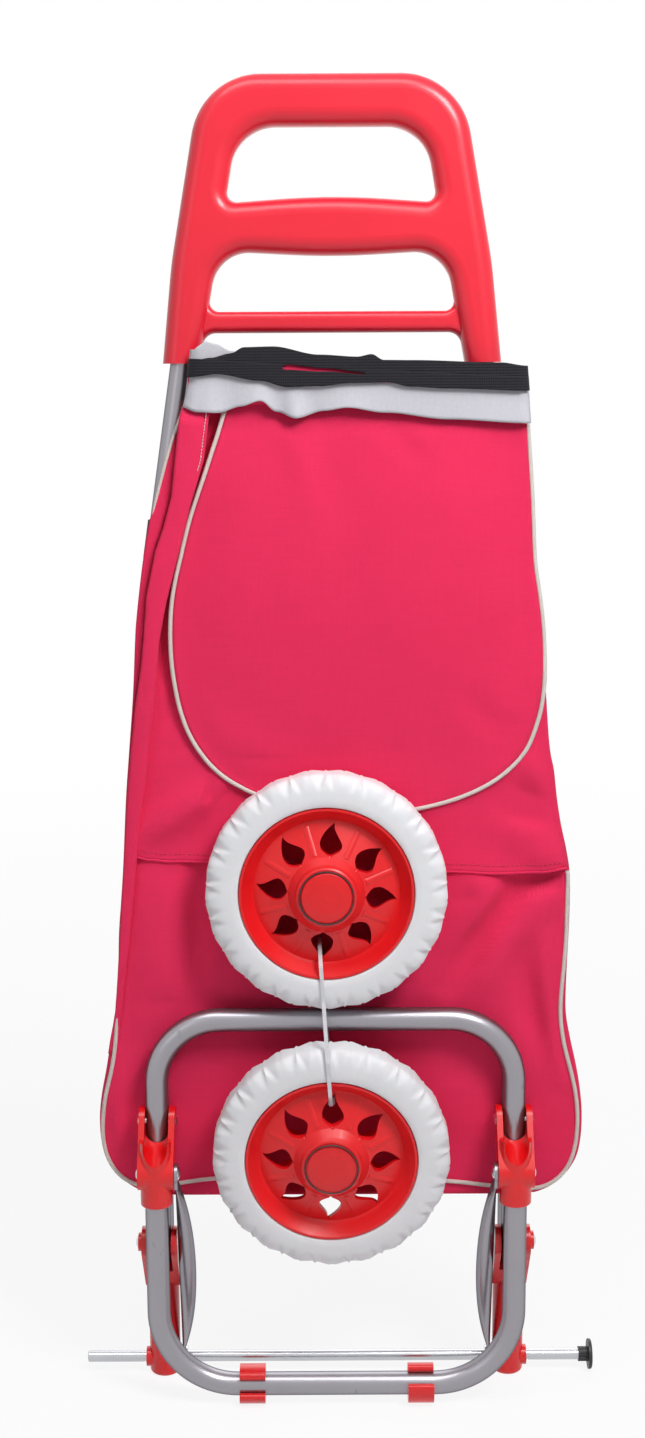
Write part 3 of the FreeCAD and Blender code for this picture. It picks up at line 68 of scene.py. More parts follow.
# ------------------------------------------------------------------ shader graphs
class Wire:
    """A shader socket with arithmetic: an expression on wires adds its Math nodes."""

    def __init__(self, graph: "Graph", socket: bpy.types.NodeSocket) -> None:
        """Wrap one output socket of a graph."""
        self.graph = graph
        self.socket = socket

    def _math(self, operation: str, *values: "Wire | float") -> "Wire":
        """Add one Math node fed by the values in order."""
        return self.graph.node("ShaderNodeMath", {"operation": operation}, dict(enumerate(values)))

    def __add__(self, other: "Wire | float") -> "Wire":
        """Sum."""
        return self._math("ADD", self, other)

    def __radd__(self, other: float) -> "Wire":
        """Sum, number first."""
        return self._math("ADD", other, self)

    def __sub__(self, other: "Wire | float") -> "Wire":
        """Difference."""
        return self._math("SUBTRACT", self, other)

    def __rsub__(self, other: float) -> "Wire":
        """Difference, number first."""
        return self._math("SUBTRACT", other, self)

    def __mul__(self, other: "Wire | float") -> "Wire":
        """Product."""
        return self._math("MULTIPLY", self, other)

    def __rmul__(self, other: float) -> "Wire":
        """Product, number first."""
        return self._math("MULTIPLY", other, self)

    def __truediv__(self, other: "Wire | float") -> "Wire":
        """Quotient."""
        return self._math("DIVIDE", self, other)

    def wave(self, period: float) -> "Wire":
        """Sine of this length, one turn per period."""
        return self._math("SINE", self * (2 * math.pi / period))

    def clamped(self) -> "Wire":
        """This value held between 0 and 1."""
        return self.graph.node("ShaderNodeClamp", {}, {0: self})

    def between(self, low: float, high: float) -> "Wire":
        """Smooth step from 0 at low to 1 at high."""
        settings = {"interpolation_type": "SMOOTHSTEP"}
        return self.graph.node("ShaderNodeMapRange", settings, {0: self, 1: low, 2: high})


class Graph:
    """The node tree of one material, around its Principled shader."""

    def __init__(self, name: str) -> None:
        """Start an empty material of that name.

        Args:
            name: the material's name.
        """
        self.material = bpy.data.materials.new(name)
        self.material.use_nodes = True
        self.tree = self.material.node_tree
        self.shader = self.tree.nodes["Principled BSDF"]

    def node(self, kind: str, settings: dict | None = None, inputs: dict | None = None,
             output: int | str = 0) -> Wire:
        """Add a node.

        Args:
            kind: the node's type name.
            settings: its properties, set first.
            inputs: values or wires by socket number or name.
            output: which output to return.

        Returns:
            The output as a wire.
        """
        made = self.tree.nodes.new(kind)
        for key, value in (settings or {}).items():
            setattr(made, key, value)
        for key, value in (inputs or {}).items():
            self.feed(made.inputs[key], value)
        return Wire(self, made.outputs[output])

    def feed(self, socket: bpy.types.NodeSocket, value: object) -> None:
        """Link a wire to a socket, or set the socket's own value.

        Args:
            socket: the input to feed.
            value: a wire, or a number, colour or vector.
        """
        if isinstance(value, Wire):
            self.tree.links.new(value.socket, socket)
        elif isinstance(value, tuple) and len(value) == 3 and len(socket.default_value) == 4:
            socket.default_value = (*value, 1.0)
        else:
            socket.default_value = value

    def place(self) -> Wire:
        """Position on the piece, in metres."""
        return self.node("ShaderNodeTexCoord", {}, {}, "Object")

    def axes(self) -> tuple[Wire, Wire, Wire]:
        """The position's three parts.

        Returns:
            x, y and z, in metres.
        """
        split = self.node("ShaderNodeSeparateXYZ", {}, {0: self.place()})
        outputs = split.socket.node.outputs
        return Wire(self, outputs[0]), Wire(self, outputs[1]), Wire(self, outputs[2])

    def noise(self, scale: float, detail: float = 2.0, rough: float = 0.5,
              stretch: tuple[float, float, float] = (1, 1, 1)) -> Wire:
        """Noise from 0 to 1 over the piece, with a scale per metre.

        Args:
            scale: how fine it is: lumps per metre, about.
            detail: how many finer layers are added.
            rough: how strong the finer layers are.
            stretch: scale along x, y and z; below 1 it is drawn out.

        Returns:
            The noise.
        """
        mapped = self.node("ShaderNodeMapping", {}, {"Vector": self.place(), "Scale": stretch})
        return self.node("ShaderNodeTexNoise", {},
                         {"Vector": mapped, "Scale": scale, "Detail": detail, "Roughness": rough})

    def blend(self, first: object, second: object, share: Wire | float) -> Wire:
        """Mix two colours."""
        settings = {"data_type": "RGBA"}
        return self.node("ShaderNodeMix", settings, {0: share, 6: first, 7: second}, 2)

    def bump(self, height: Wire, depth: float) -> None:
        """Feed the shader's normal with a height in units of depth, in metres.

        Args:
            height: height over the surface.
            depth: what a height of 1 stands for, in metres.
        """
        bumped = self.node("ShaderNodeBump", {},
                           {"Height": height, "Distance": depth, "Strength": 1.0})
        self.feed(self.shader.inputs["Normal"], bumped)

    def finish(self, **values: object) -> bpy.types.Material:
        """Set the shader's sockets, named with underscores for spaces, and return the material.

        Args:
            values: value or wire by the socket's name.

        Returns:
            The material.
        """
        for key, value in values.items():
            self.feed(self.shader.inputs[key.replace("_", " ")], value)
        return self.material


# ------------------------------------------------------------------ finishes
@dataclass(frozen=True)
class Moulding:
    """Injection-moulded plastic: fine spark grain, faint flow marks and soft gloss."""

    name: str
    colour: Colour
    roughness: float = 0.3
    grain: float = 0.00003
    coat: float = 0.0

    def material(self) -> bpy.types.Material:
        """Build the material.

        Returns:
            The material.
        """
        g = Graph(self.name)
        cloud = g.noise(14, 3)
        flow = g.noise(40, 2, 0.6, (1, 1, 0.25))
        spark = g.noise(2600, 2, 0.7)
        dark = shaded(self.colour, 0.86)
        light = shaded(self.colour, 1.06, 0.004)
        shade = g.blend(dark, light, (0.25 + 0.5 * cloud + 0.25 * flow).clamped())
        rough = self.roughness - 0.05 + 0.1 * flow + 0.05 * spark
        g.bump(spark + 0.4 * cloud, self.grain)
        return g.finish(Base_Color=shade, Roughness=rough, Coat_Weight=self.coat,
                        Coat_Roughness=0.12, IOR=1.48)


@dataclass(frozen=True)
class TubePaint:
    """Silver-grey powder coat on steel tube: metallic flake, drawn lines and small scuffs."""

    name: str
    colour: Colour = (0.345, 0.33, 0.36)

    def material(self) -> bpy.types.Material:
        """Build the material.

        Returns:
            The material.
        """
        g = Graph(self.name)
        cloud = g.noise(24, 3)
        flake = g.noise(3200, 1, 0.8)
        lines = g.noise(900, 2, 0.6, (1, 1, 0.06))
        scuff = g.noise(90, 4, 0.7, (1, 1, 0.35)).between(0.66, 0.72)
        dark = shaded(self.colour, 0.82)
        body = g.blend(dark, self.colour, (0.3 + 0.7 * cloud).clamped())
        body = g.blend(body, shaded(self.colour, 1.28), 0.35 * flake)
        body = g.blend(body, (0.16, 0.16, 0.17), 0.4 * scuff)
        rough = 0.24 + 0.06 * cloud + 0.06 * flake + 0.12 * scuff
        g.bump(0.5 * flake + 0.5 * lines - 0.6 * scuff, 0.00004)
        return g.finish(Base_Color=body, Metallic=0.9, Roughness=rough,
                        Specular_Tint=(0.25, 0.25, 0.27, 1.0))


@dataclass(frozen=True)
class BrightSteel:
    """Plated or drawn steel with fine lines round or along the piece."""

    name: str
    colour: Colour = (0.66, 0.67, 0.70)
    stretch: tuple[float, float, float] = (0.05, 1, 1)

    def material(self) -> bpy.types.Material:
        """Build the material.

        Returns:
            The material.
        """
        g = Graph(self.name)
        lines = g.noise(1500, 2, 0.6, self.stretch)
        cloud = g.noise(60, 3)
        body = g.blend(shaded(self.colour, 0.75), self.colour,
                       (0.4 * lines + 0.6 * cloud).clamped())
        g.bump(lines, 0.00002)
        return g.finish(Base_Color=body, Metallic=1.0, Roughness=0.18 + 0.16 * lines)


@dataclass(frozen=True)
class Foam:
    """Skinned foam of the tyres: fine cells, handling marks and a satin skin."""

    name: str
    colour: Colour = (0.84, 0.845, 0.87)

    def material(self) -> bpy.types.Material:
        """Build the material.

        Returns:
            The material.
        """
        g = Graph(self.name)
        cells = g.node("ShaderNodeTexVoronoi", {"feature": "F1"},
                       {"Vector": g.place(), "Scale": 1500.0})
        cloud = g.noise(30, 3)
        grime = g.noise(70, 4, 0.6).between(0.60, 0.80)
        body = g.blend(shaded(self.colour, 0.93), self.colour, cloud)
        body = g.blend(body, (0.62, 0.61, 0.60), 0.16 * grime)
        g.bump(0.5 * cells + 0.8 * g.noise(220, 3), 0.00010)
        return g.finish(Base_Color=body, Roughness=0.46 + 0.12 * cloud,
                        Subsurface_Weight=0.05, Subsurface_Scale=0.003)


@dataclass(frozen=True)
class MilkyNylon:
    """Cable tie nylon: milky, a little see-through, with fine teeth lines."""

    name: str

    def material(self) -> bpy.types.Material:
        """Build the material.

        Returns:
            The material.
        """
        g = Graph(self.name)
        _, _, z = g.axes()
        teeth = 0.5 + 0.5 * z.wave(0.0011)
        body = g.blend((0.80, 0.81, 0.84), (0.90, 0.90, 0.92), teeth)
        g.bump(teeth, 0.00012)
        return g.finish(Base_Color=body, Roughness=0.28 + 0.08 * g.noise(300),
                        Transmission_Weight=0.25, IOR=1.5)


class Weave(Enum):
    """How the threads of a cloth lie."""

    PLAIN = "plain"
    RIBBED = "ribbed"
    SMOOTH = "smooth"


@dataclass(frozen=True)
class Cloth:
    """Woven cloth: over-and-under threads with painted shade between them, uneven yarn, soft blotches and lint."""

    name: str
    colour: Colour
    weave: Weave = Weave.PLAIN
    pitch: float = 0.00075
    relief: float = 0.00016
    roughness: float = 0.80
    sheen: float = 0.06

    def threads(self, g: Graph) -> Wire:
        """Height of the weave, 0 to 1.

        Args:
            g: the material's graph.

        Returns:
            The height.
        """
        x, y, z = g.axes()
        across = x + y
        if self.weave is Weave.PLAIN:
            return 0.5 + 0.5 * (across.wave(2 * self.pitch) * z.wave(2 * self.pitch))
        if self.weave is Weave.RIBBED:
            cross = 0.5 + 0.5 * across.wave(1.6 * self.pitch)
            return 0.65 * (0.5 + 0.5 * z.wave(2 * self.pitch)) + 0.35 * cross
        return g.noise(500, 2)

    def material(self) -> bpy.types.Material:
        """Build the material.

        Returns:
            The material.
        """
        g = Graph(self.name)
        threads = self.threads(g)
        warp = g.noise(1100, 2, 0.6, (1, 1, 0.04))
        weft = g.noise(1100, 2, 0.6, (0.04, 0.04, 1))
        blotch = g.noise(11, 3, 0.55)
        yarn = 0.5 * warp + 0.5 * weft
        dark = shaded(self.colour, 0.70)
        light = shaded(self.colour, 1.10, 0.006)
        # the weave's height makes the low parts between threads darker: painted shade (for the smooth weave it is
        # plain noise, uneven tone); yarn and blotch are the cloth's own uneven tone
        share = 0.30 * threads + 0.42 * yarn + 0.34 * blotch
        body = g.blend(dark, light, share.clamped())
        lint = g.noise(420, 3, 0.7).between(0.74, 0.80)
        body = g.blend(body, shaded(self.colour, 1.0, 0.16), 0.25 * lint)
        g.bump(threads + 0.5 * yarn, self.relief)
        rough = self.roughness - 0.08 + 0.12 * yarn + 0.06 * threads
        return g.finish(Base_Color=body, Roughness=rough, Sheen_Weight=self.sheen,
                        Sheen_Roughness=0.45, Specular_IOR_Level=0.18)


@dataclass(frozen=True)
class Finishes:
    """Every finish of the trolley, built once."""

    handle: bpy.types.Material
    red_plastic: bpy.types.Material
    rim: bpy.types.Material
    tube: bpy.types.Material
    axle: bpy.types.Material
    rivet: bpy.types.Material
    black: bpy.types.Material
    tyre: bpy.types.Material
    nylon: bpy.types.Material
    cloth: bpy.types.Material
    lining: bpy.types.Material
    webbing: bpy.types.Material
    piping: bpy.types.Material
    thread: bpy.types.Material

    @classmethod
    def build(cls) -> "Finishes":
        """Make the materials.

        Returns:
            The finishes.
        """
        crimson = (0.90, 0.026, 0.112)
        return cls(
            handle=Moulding("handle_red", (0.76, 0.008, 0.030), 0.30, 0.00003, 0.2).material(),
            red_plastic=Moulding("bracket_red", (0.80, 0.002, 0.005), 0.26,
                                 0.00003, 0.2).material(),
            rim=Moulding("rim_red", (0.80, 0.004, 0.008), 0.36, 0.00004, 0.1).material(),
            tube=TubePaint("tube_silver").material(),
            axle=BrightSteel("axle_steel", (0.60, 0.61, 0.64)).material(),
            rivet=BrightSteel("rivet_steel", (0.74, 0.75, 0.78), (1, 1, 1)).material(),
            black=Moulding("cap_black", (0.018, 0.018, 0.020), 0.42).material(),
            tyre=Foam("tyre_foam").material(),
            nylon=MilkyNylon("tie_nylon").material(),
            cloth=Cloth("bag_cloth", crimson).material(),
            lining=Cloth("lining_cloth", (0.62, 0.61, 0.66), Weave.SMOOTH, relief=0.00005,
                         roughness=0.50, sheen=0.1).material(),
            webbing=Cloth("black_webbing", (0.011, 0.010, 0.014), Weave.RIBBED, pitch=0.0009,
                          relief=0.00025, roughness=0.66).material(),
            piping=Cloth("piping_cord", (0.74, 0.68, 0.63), Weave.RIBBED, pitch=0.0006,
                         roughness=0.6).material(),
            thread=Cloth("seam_thread", (0.66, 0.035, 0.085), Weave.SMOOTH, sheen=0.2).material())


# ------------------------------------------------------------------ meshes
def mesh_piece(name: str, points: Sequence[Vector], faces: Sequence[Sequence[int]],
               material: bpy.types.Material, body: str) -> bpy.types.Object:
    """Make a smooth-shaded piece that rides on a body.

    Args:
        name: the piece's name.
        points: its vertices.
        faces: vertex numbers of each face.
        material: its finish.
        body: the body that it rides on.

    Returns:
        The new object.
    """
    mesh = bpy.data.meshes.new(name)
    mesh.from_pydata([tuple(p) for p in points], [], [tuple(f) for f in faces])
    mesh.validate()
    mesh.shade_smooth()
    mesh.materials.append(material)
    piece = bpy.data.objects.new(name, mesh)
    bpy.context.scene.collection.objects.link(piece)
    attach(piece, body)
    log.info("piece %s: %d faces, rides on %s", name, len(mesh.polygons), body)
    return piece


def thickened(piece: bpy.types.Object, thickness: float) -> bpy.types.Object:
    """Give a sheet its thickness, half on each side, as part of its mesh.

    Args:
        piece: the sheet.
        thickness: how thick it gets.

    Returns:
        The same piece.
    """
    solid = piece.modifiers.new("thick", "SOLIDIFY")
    solid.thickness = thickness
    solid.offset = 0.0
    bpy.context.view_layer.update()
    shaped = piece.evaluated_get(bpy.context.evaluated_depsgraph_get())
    mesh = bpy.data.meshes.new_from_object(shaped)
    flat = piece.data
    piece.modifiers.clear()
    piece.data = mesh
    bpy.data.meshes.remove(flat)
    mesh.shade_smooth()
    return piece


def grid_faces(rows: int, columns: int) -> list[tuple[int, int, int, int]]:
    """Faces of a grid whose vertices are listed row by row.

    Args:
        rows: rows of vertices.
        columns: vertices in a row.

    Returns:
        Vertex numbers of each face.
    """
    faces = []
    for r in range(rows - 1):
        for c in range(columns - 1):
            first = r * columns + c
            faces.append((first, first + columns, first + columns + 1, first + 1))
    return faces


def resampled(points: Sequence[Vector], step: float) -> list[Vector]:
    """The same line with evenly spaced points.

    Args:
        points: the line.
        step: about how far apart the new points are.

    Returns:
        The new points.
    """
    lengths = [0.0]
    for a, b in zip(points, points[1:]):
        lengths.append(lengths[-1] + (b - a).length)
    count = max(2, int(lengths[-1] / step))
    result = []
    segment = 0
    for i in range(count + 1):
        target = lengths[-1] * i / count
        while segment < len(points) - 2 and lengths[segment + 1] < target:
            segment += 1
        span = lengths[segment + 1] - lengths[segment]
        share = (target - lengths[segment]) / span if span > 0 else 0.0
        result.append(points[segment].lerp(points[segment + 1], share))
    return result


def eased(points: Sequence[Vector], passes: int) -> list[Vector]:
    """The line with its corners softened by averaging neighbours.

    Args:
        points: the line.
        passes: how many times it is averaged.

    Returns:
        The softened line, with the same ends.
    """
    line = list(points)
    for _ in range(passes):
        middle = [(a + 2 * b + c) / 4 for a, b, c in zip(line, line[1:], line[2:])]
        line = [line[0], *middle, line[-1]]
    return line


def cord_mesh(points: Sequence[Vector], radius: float, sides: int
              ) -> tuple[list[Vector], list[tuple[int, ...]]]:
    """Vertices and faces of a round cord along a line, closed at both ends.

    Args:
        points: the cord's middle line.
        radius: the cord's radius.
        sides: vertices round it.

    Returns:
        Vertices, and vertex numbers of each face.
    """
    vertices: list[Vector] = []
    faces: list[tuple[int, ...]] = []
    up = Vector((0, -1, 0))
    for i, point in enumerate(points):
        ahead = points[min(i + 1, len(points) - 1)] - points[max(i - 1, 0)]
        ahead.normalize()
        side = ahead.cross(up).normalized()
        out = side.cross(ahead)
        for k in range(sides):
            turn = 2 * math.pi * k / sides
            vertices.append(point + radius * (math.cos(turn) * side + math.sin(turn) * out))
    for i in range(len(points) - 1):
        for k in range(sides):
            a = i * sides + k
            b = i * sides + (k + 1) % sides
            faces.append((a, b, b + sides, a + sides))
    faces.append(tuple(range(sides))[::-1])
    last = (len(points) - 1) * sides
    faces.append(tuple(range(last, last + sides)))
    return vertices, faces


def cord_piece(name: str, line: Sequence[Vector], radius: float, material: bpy.types.Material,
               body: str = "frame", sides: int = 10) -> bpy.types.Object:
    """A round cord laid along a line, as a piece of its own."""
    vertices, faces = cord_mesh(line, radius, sides)
    return mesh_piece(name, vertices, faces, material, body)


def stitches(name: str, line: Sequence[Vector], material: bpy.types.Material,
             pitch: float = 3.2 * MM, radius: float = 0.28 * MM,
             facing: float = 1.0) -> bpy.types.Object:
    """A row of sewn stitches along a line on the cloth, facing front (1) or back (-1).

    Args:
        name: the piece's name.
        line: the line that is sewn.
        material: its finish.
        pitch: about how far one stitch is from the next.
        radius: the thread's radius.
        facing: 1 on a front face, -1 on a back face.

    Returns:
        The piece.
    """
    run = resampled(line, pitch)
    vertices: list[Vector] = []
    faces: list[tuple[int, ...]] = []
    for a, b in zip(run, run[1:]):
        start = a.lerp(b, 0.14)
        end = a.lerp(b, 0.86)
        crown = start.lerp(end, 0.5) + Vector((0, -0.7 * radius * facing, 0))
        sunk = Vector((0, 0.8 * radius * facing, 0))
        points, sides = cord_mesh([start + sunk, crown, end + sunk], radius, 6)
        base = len(vertices)
        vertices += points
        faces += [tuple(base + i for i in side) for side in sides]
    return mesh_piece(name, vertices, faces, material, "frame")


def extremes(edges: Sequence[tuple[Point, Point]], z: float) -> Point:
    """The lowest and highest x at which edges of (x, z) points cross a height.

    Args:
        edges: pairs of (x, z) points.
        z: the height.

    Returns:
        The lowest and the highest x.
    """
    level_edge = 1e-9
    crossings = [x0 + (x1 - x0) * (z - z0) / (z1 - z0) for (x0, z0), (x1, z1) in edges
                 if (z0 - z) * (z1 - z) <= 0 and abs(z0 - z1) > level_edge]
    return min(crossings), max(crossings)


class Silhouette:
    """Left and right edges of a CAD node, seen from the front, at any height."""

    def __init__(self, node: str) -> None:
        """Read the node's edges.

        Args:
            node: the node's name.
        """
        mesh = frame["nodes"][node].data
        self.low, self.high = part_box(node)
        ends = [(v.co.x, v.co.z) for v in mesh.vertices]
        self.edges = [(ends[e.vertices[0]], ends[e.vertices[1]]) for e in mesh.edges]

    def sides(self, z: float) -> Point:
        """The lowest and highest x at a height, held inside the node's own heights."""
        edge = 0.05 * MM
        return extremes(self.edges, min(max(z, self.low.z + edge), self.high.z - edge))


class Outline:
    """A smooth line round a flat piece, through (x, z) points in millimetres."""

    def __init__(self, points: Sequence[Point], steps: int = 8) -> None:
        """Draw the line.

        Args:
            points: places that it passes through, in order.
            steps: pieces between two of them.
        """
        self.line: list[Point] = []
        for i in range(len(points) - 1):
            before, after = points[max(i - 1, 0)], points[min(i + 2, len(points) - 1)]
            for k in range(steps):
                t = k / steps
                self.line.append(tuple(self._through(before[n], points[i][n], points[i + 1][n],
                                                     after[n], t) * MM for n in (0, 1)))
        self.line.append((points[-1][0] * MM, points[-1][1] * MM))
        self.bottom = min(z for _, z in self.line)
        self.top = max(z for _, z in self.line)

    @staticmethod
    def _through(a: float, b: float, c: float, d: float, t: float) -> float:
        """A curve from b to c whose ends head along a to c and b to d."""
        return 0.5 * (2 * b + (c - a) * t + (2 * a - 5 * b + 4 * c - d) * t * t
                      + (3 * b - a - 3 * c + d) * t ** 3)

    def inset(self, distance: float) -> "Outline":
        """The same line moved to its left, which is inwards where it runs anticlockwise.

        Args:
            distance: how far it is moved, in metres.

        Returns:
            The moved line.
        """
        moved = []
        for i, (x, z) in enumerate(self.line):
            x0, z0 = self.line[max(i - 1, 0)]
            x1, z1 = self.line[min(i + 1, len(self.line) - 1)]
            length = math.hypot(x1 - x0, z1 - z0)
            moved.append(((x - (z1 - z0) / length * distance) / MM,
                          (z + (x1 - x0) / length * distance) / MM))
        return Outline(moved, 1)

    def sides(self, z: float) -> Point:
        """The lowest and highest x at a height, held inside the line's own heights.

        Args:
            z: height, in metres.

        Returns:
            The two places, in metres.
        """
        edge = 0.02 * MM
        return extremes(list(zip(self.line, self.line[1:])),
                        min(max(z, self.bottom + edge), self.top - edge))


def along(line: Sequence[Point], z: float) -> float:
    """x of a line of (x, z) points, in millimetres and listed downwards, at a height in metres.

    Args:
        line: points in millimetres, listed downwards.
        z: height, in metres.

    Returns:
        x, in metres.
    """
    z = z / MM
    if z >= line[0][1]:
        return line[0][0] * MM
    for (x0, z0), (x1, z1) in zip(line, line[1:]):
        if z >= z1:
            return (x0 + (x1 - x0) * (z0 - z) / (z0 - z1)) * MM
    return line[-1][0] * MM


def level(line: Sequence[Point], x: float) -> float:
    """Height of a line of (x, z) points, in millimetres from left to right, at an x in metres.

    Args:
        line: points in millimetres, from left to right.
        x: place across, in metres.

    Returns:
        The height, in metres.
    """
    x = x / MM
    for (x0, z0), (x1, z1) in zip(line, line[1:]):
        if x <= x1:
            share = unit((x - x0) / (x1 - x0))
            share = share * share * (3 - 2 * share)
            return (z0 + (z1 - z0) * share) * MM
    return line[-1][1] * MM


def cloth_sheet(name: str, points: Sequence[Vector], faces: Sequence[Sequence[int]],
                material: bpy.types.Material, thickness: float) -> bpy.types.Object:
    """Args:
        name: the sheet's name.
        points: its vertices, before it has a thickness.
        faces: vertex numbers of each face.
        material: its finish.
        thickness: how thick the cloth is.

    Returns:
        The sheet.
    """
    piece = mesh_piece(name, points, faces, material, "frame")
    return thickened(piece, thickness)


def unit(value: float) -> float:
    """The value held between 0 and 1."""
    return min(1.0, max(0.0, value))


def hump(distance: float, width: float) -> float:
    """Smooth bell, 1 at the middle."""
    return math.exp(-(distance / width) ** 2)


@dataclass(frozen=True)
class Fold:
    """A soft ridge or, with a negative height, a valley along a line on a sheet, in millimetres."""

    line: tuple[Point, ...]
    height: float
    width: float

    def rise(self, x: float, z: float) -> float:
        """How far the cloth comes forward at a point in metres, in metres.

        Args:
            x: place across, in metres.
            z: height, in metres.

        Returns:
            The rise, in metres.
        """
        x, z = x / MM, z / MM
        best = 1e9
        place = 0.0
        count = len(self.line) - 1
        for i in range(count):
            (x0, z0), (x1, z1) = self.line[i], self.line[i + 1]
            dx, dz = x1 - x0, z1 - z0
            share = ((x - x0) * dx + (z - z0) * dz) / (dx * dx + dz * dz)
            share = unit(share)
            away = math.hypot(x - x0 - share * dx, z - z0 - share * dz)
            if away < best:
                best = away
                place = (i + share) / count
        taper = 0.35 + 0.65 * math.sin(math.pi * unit(place))
        return self.height * taper * hump(best, self.width) * MM


def softness(x: float, z: float, seed: float) -> float:
    """Slow unevenness of hanging cloth, about -1 to 1.

    Args:
        x: place across, in metres.
        z: height, in metres.
        seed: which uneven surface to take.

    Returns:
        The unevenness.
    """
    broad = noise.noise(Vector((x * 9, seed, z * 6)))
    fine = noise.noise(Vector((x * 34, seed + 5, z * 22)))
    return 1.4 * broad + 0.5 * fine


# ------------------------------------------------------------------ hard pieces
@dataclass
class Hardware:
    """Frame, platform, feet, struts, handle and wheels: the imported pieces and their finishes."""

    finishes: Finishes
    finish_of: dict[str, str] = field(default_factory=lambda: {
        "handle_plastic": "handle", "red_plastic": "red_plastic", "silver_tube": "tube",
        "axle_steel": "axle", "rivet_steel": "rivet", "black_plastic": "black",
        "rim_plastic": "rim", "tyre_foam": "tyre", "tie_nylon": "nylon",
        "bag_fabric": "cloth", "piping_cord": "piping", "lining_fabric": "lining",
        "black_webbing": "webbing"})

    def dress(self) -> None:
        """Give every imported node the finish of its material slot."""
        for part in frame["record"]["subparts"]:
            node = frame["nodes"][part["node"]]
            finish = getattr(self.finishes, self.finish_of[part["material_slot"]])
            if not node.data.materials:
                node.data.materials.append(finish)
            for slot in node.material_slots:
                slot.material = finish
            log.info("node %s: %s", part["node"], finish.name)


# ------------------------------------------------------------------ tyres
@dataclass
class Tyres:
    """The two foam tyres, with a smooth face and a zigzag shoulder, and a near-black ring of painted shade round
    each hub cap.
    """

    finishes: Finishes
    radius: float = 82 * MM
    width: float = 27 * MM
    seat: float = 59.2 * MM
    tread_from: float = 71.5 * MM
    shoulder_from: float = 67.5 * MM
    shoulder_drop: float = 7.0 * MM
    cut_deep: float = 2.7 * MM
    cut_in: float = 0.6 * MM
    waves: int = 42
    per_wave: int = 9
    crease_angle: float = 38.0

    def build(self) -> None:
        """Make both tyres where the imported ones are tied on."""
        for joint in frame["joints"]:
            if joint["child"].endswith("_wheel"):
                self._tyre(joint["child"], Vector(joint["axis"]))
                # a near-black ring of painted shade round the hub cap
                self._hub_gap_painted_shade(joint["child"], Vector(joint["axis"]))

    def _hub_gap_painted_shade(self, body: str, axis: Vector) -> None:
        """A near-black cord sunk round the hub cap: painted shade for the dark gap there.

        Args:
            body: the wheel's body.
            axis: the wheel's axis.
        """
        low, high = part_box(body + "_hub_cap")
        turn = Vector((0, 1, 0)).rotation_difference(axis)
        radius = (high.x - low.x) / 2 + 0.3 * MM
        sunk = 1.6 * MM - (high.y - low.y) / 2
        steps = 90
        angles = [2 * math.pi * i / steps for i in range(steps + 1)]
        ring = [(low + high) / 2 + turn @ Vector((radius * math.cos(a), sunk, radius * math.sin(a)))
                for a in angles]
        # near-black cord: painted shade in the gap round the cap
        cord_piece(body + "_hub_gap_painted_shade", ring, 0.5 * MM, self.finishes.black, body, 8)

    def _facet(self, place: float, radius: float) -> float:
        """How deep the tread is cut: a slanted facet, steep on one side.

        Args:
            place: place round the tyre, in waves.
            radius: distance from the wheel's axis.

        Returns:
            Depth from 0 to 1.
        """
        start, slant = 0.46, 0.36
        narrow, widening = 0.14, 0.56
        steep = 0.18
        out = unit((radius - self.tread_from) / (self.radius - self.tread_from))
        across = place % 1.0 if int(place) % 2 == 0 else 1.0 - place % 1.0
        off = (across - start + slant * out) % 1.0
        wide = narrow + widening * out
        if off < wide:
            cut = 1 - off / wide
        elif off > 1 - steep:
            cut = (off - 1 + steep) / steep
        else:
            cut = 0.0
        return cut * out ** 0.8

    def _rings(self, place: float) -> list[Point]:
        """Section of the tyre from its back seat to its front seat.

        Args:
            place: place round the tyre, in waves.

        Returns:
            Pairs of radius and distance from the back face.
        """
        r, w = self.radius, self.width
        front = [(self.seat, w - 2.4 * MM), (self.seat + 0.8 * MM, w - 0.7 * MM),
                 (self.seat + 2.4 * MM, w), (65 * MM, w)]
        steps = 9
        for i in range(1, steps + 1):
            turn = math.pi / 2 * i / steps
            radius = self.shoulder_from + (r - self.shoulder_from) * math.sin(turn)
            depth = self.shoulder_drop * (1 - math.cos(turn))
            cut = self._facet(place, radius)
            front.append((radius - self.cut_in * cut, w - depth - self.cut_deep * cut))
        back = [(radius, w - depth) for radius, depth in front]
        crown = [(r - 0.5 * MM * self._facet(place, r), w * 0.5)]
        return back + crown + front[::-1]

    def _tyre(self, body: str, axis: Vector) -> None:
        """One tyre, its mesh turned onto the wheel's axis.

        Args:
            body: the wheel's body.
            axis: the wheel's axis.
        """
        low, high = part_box(body + "_tyre")
        centre = (low + high) / 2
        turn = Vector((0, 1, 0)).rotation_difference(axis)
        steps = self.waves * self.per_wave
        points: list[Vector] = []
        for i in range(steps):
            angle = 2 * math.pi * i / steps
            section = self._rings(i / self.per_wave)
            count = len(section)
            for radius, depth in section:
                spot = Vector((radius * math.sin(angle), self.width / 2 - depth,
                               radius * math.cos(angle)))
                points.append(centre + turn @ spot)
        faces = []
        for i in range(steps):
            for k in range(count):
                a = i * count + k
                b = i * count + (k + 1) % count
                c = ((i + 1) % steps) * count
                faces.append((a, b, c + (k + 1) % count, c + k))
        piece = mesh_piece(body + "_tread", points, faces, self.finishes.tyre, body)
        piece.data.set_sharp_from_angle(angle=math.radians(self.crease_angle))
        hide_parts(body + "_tyre")


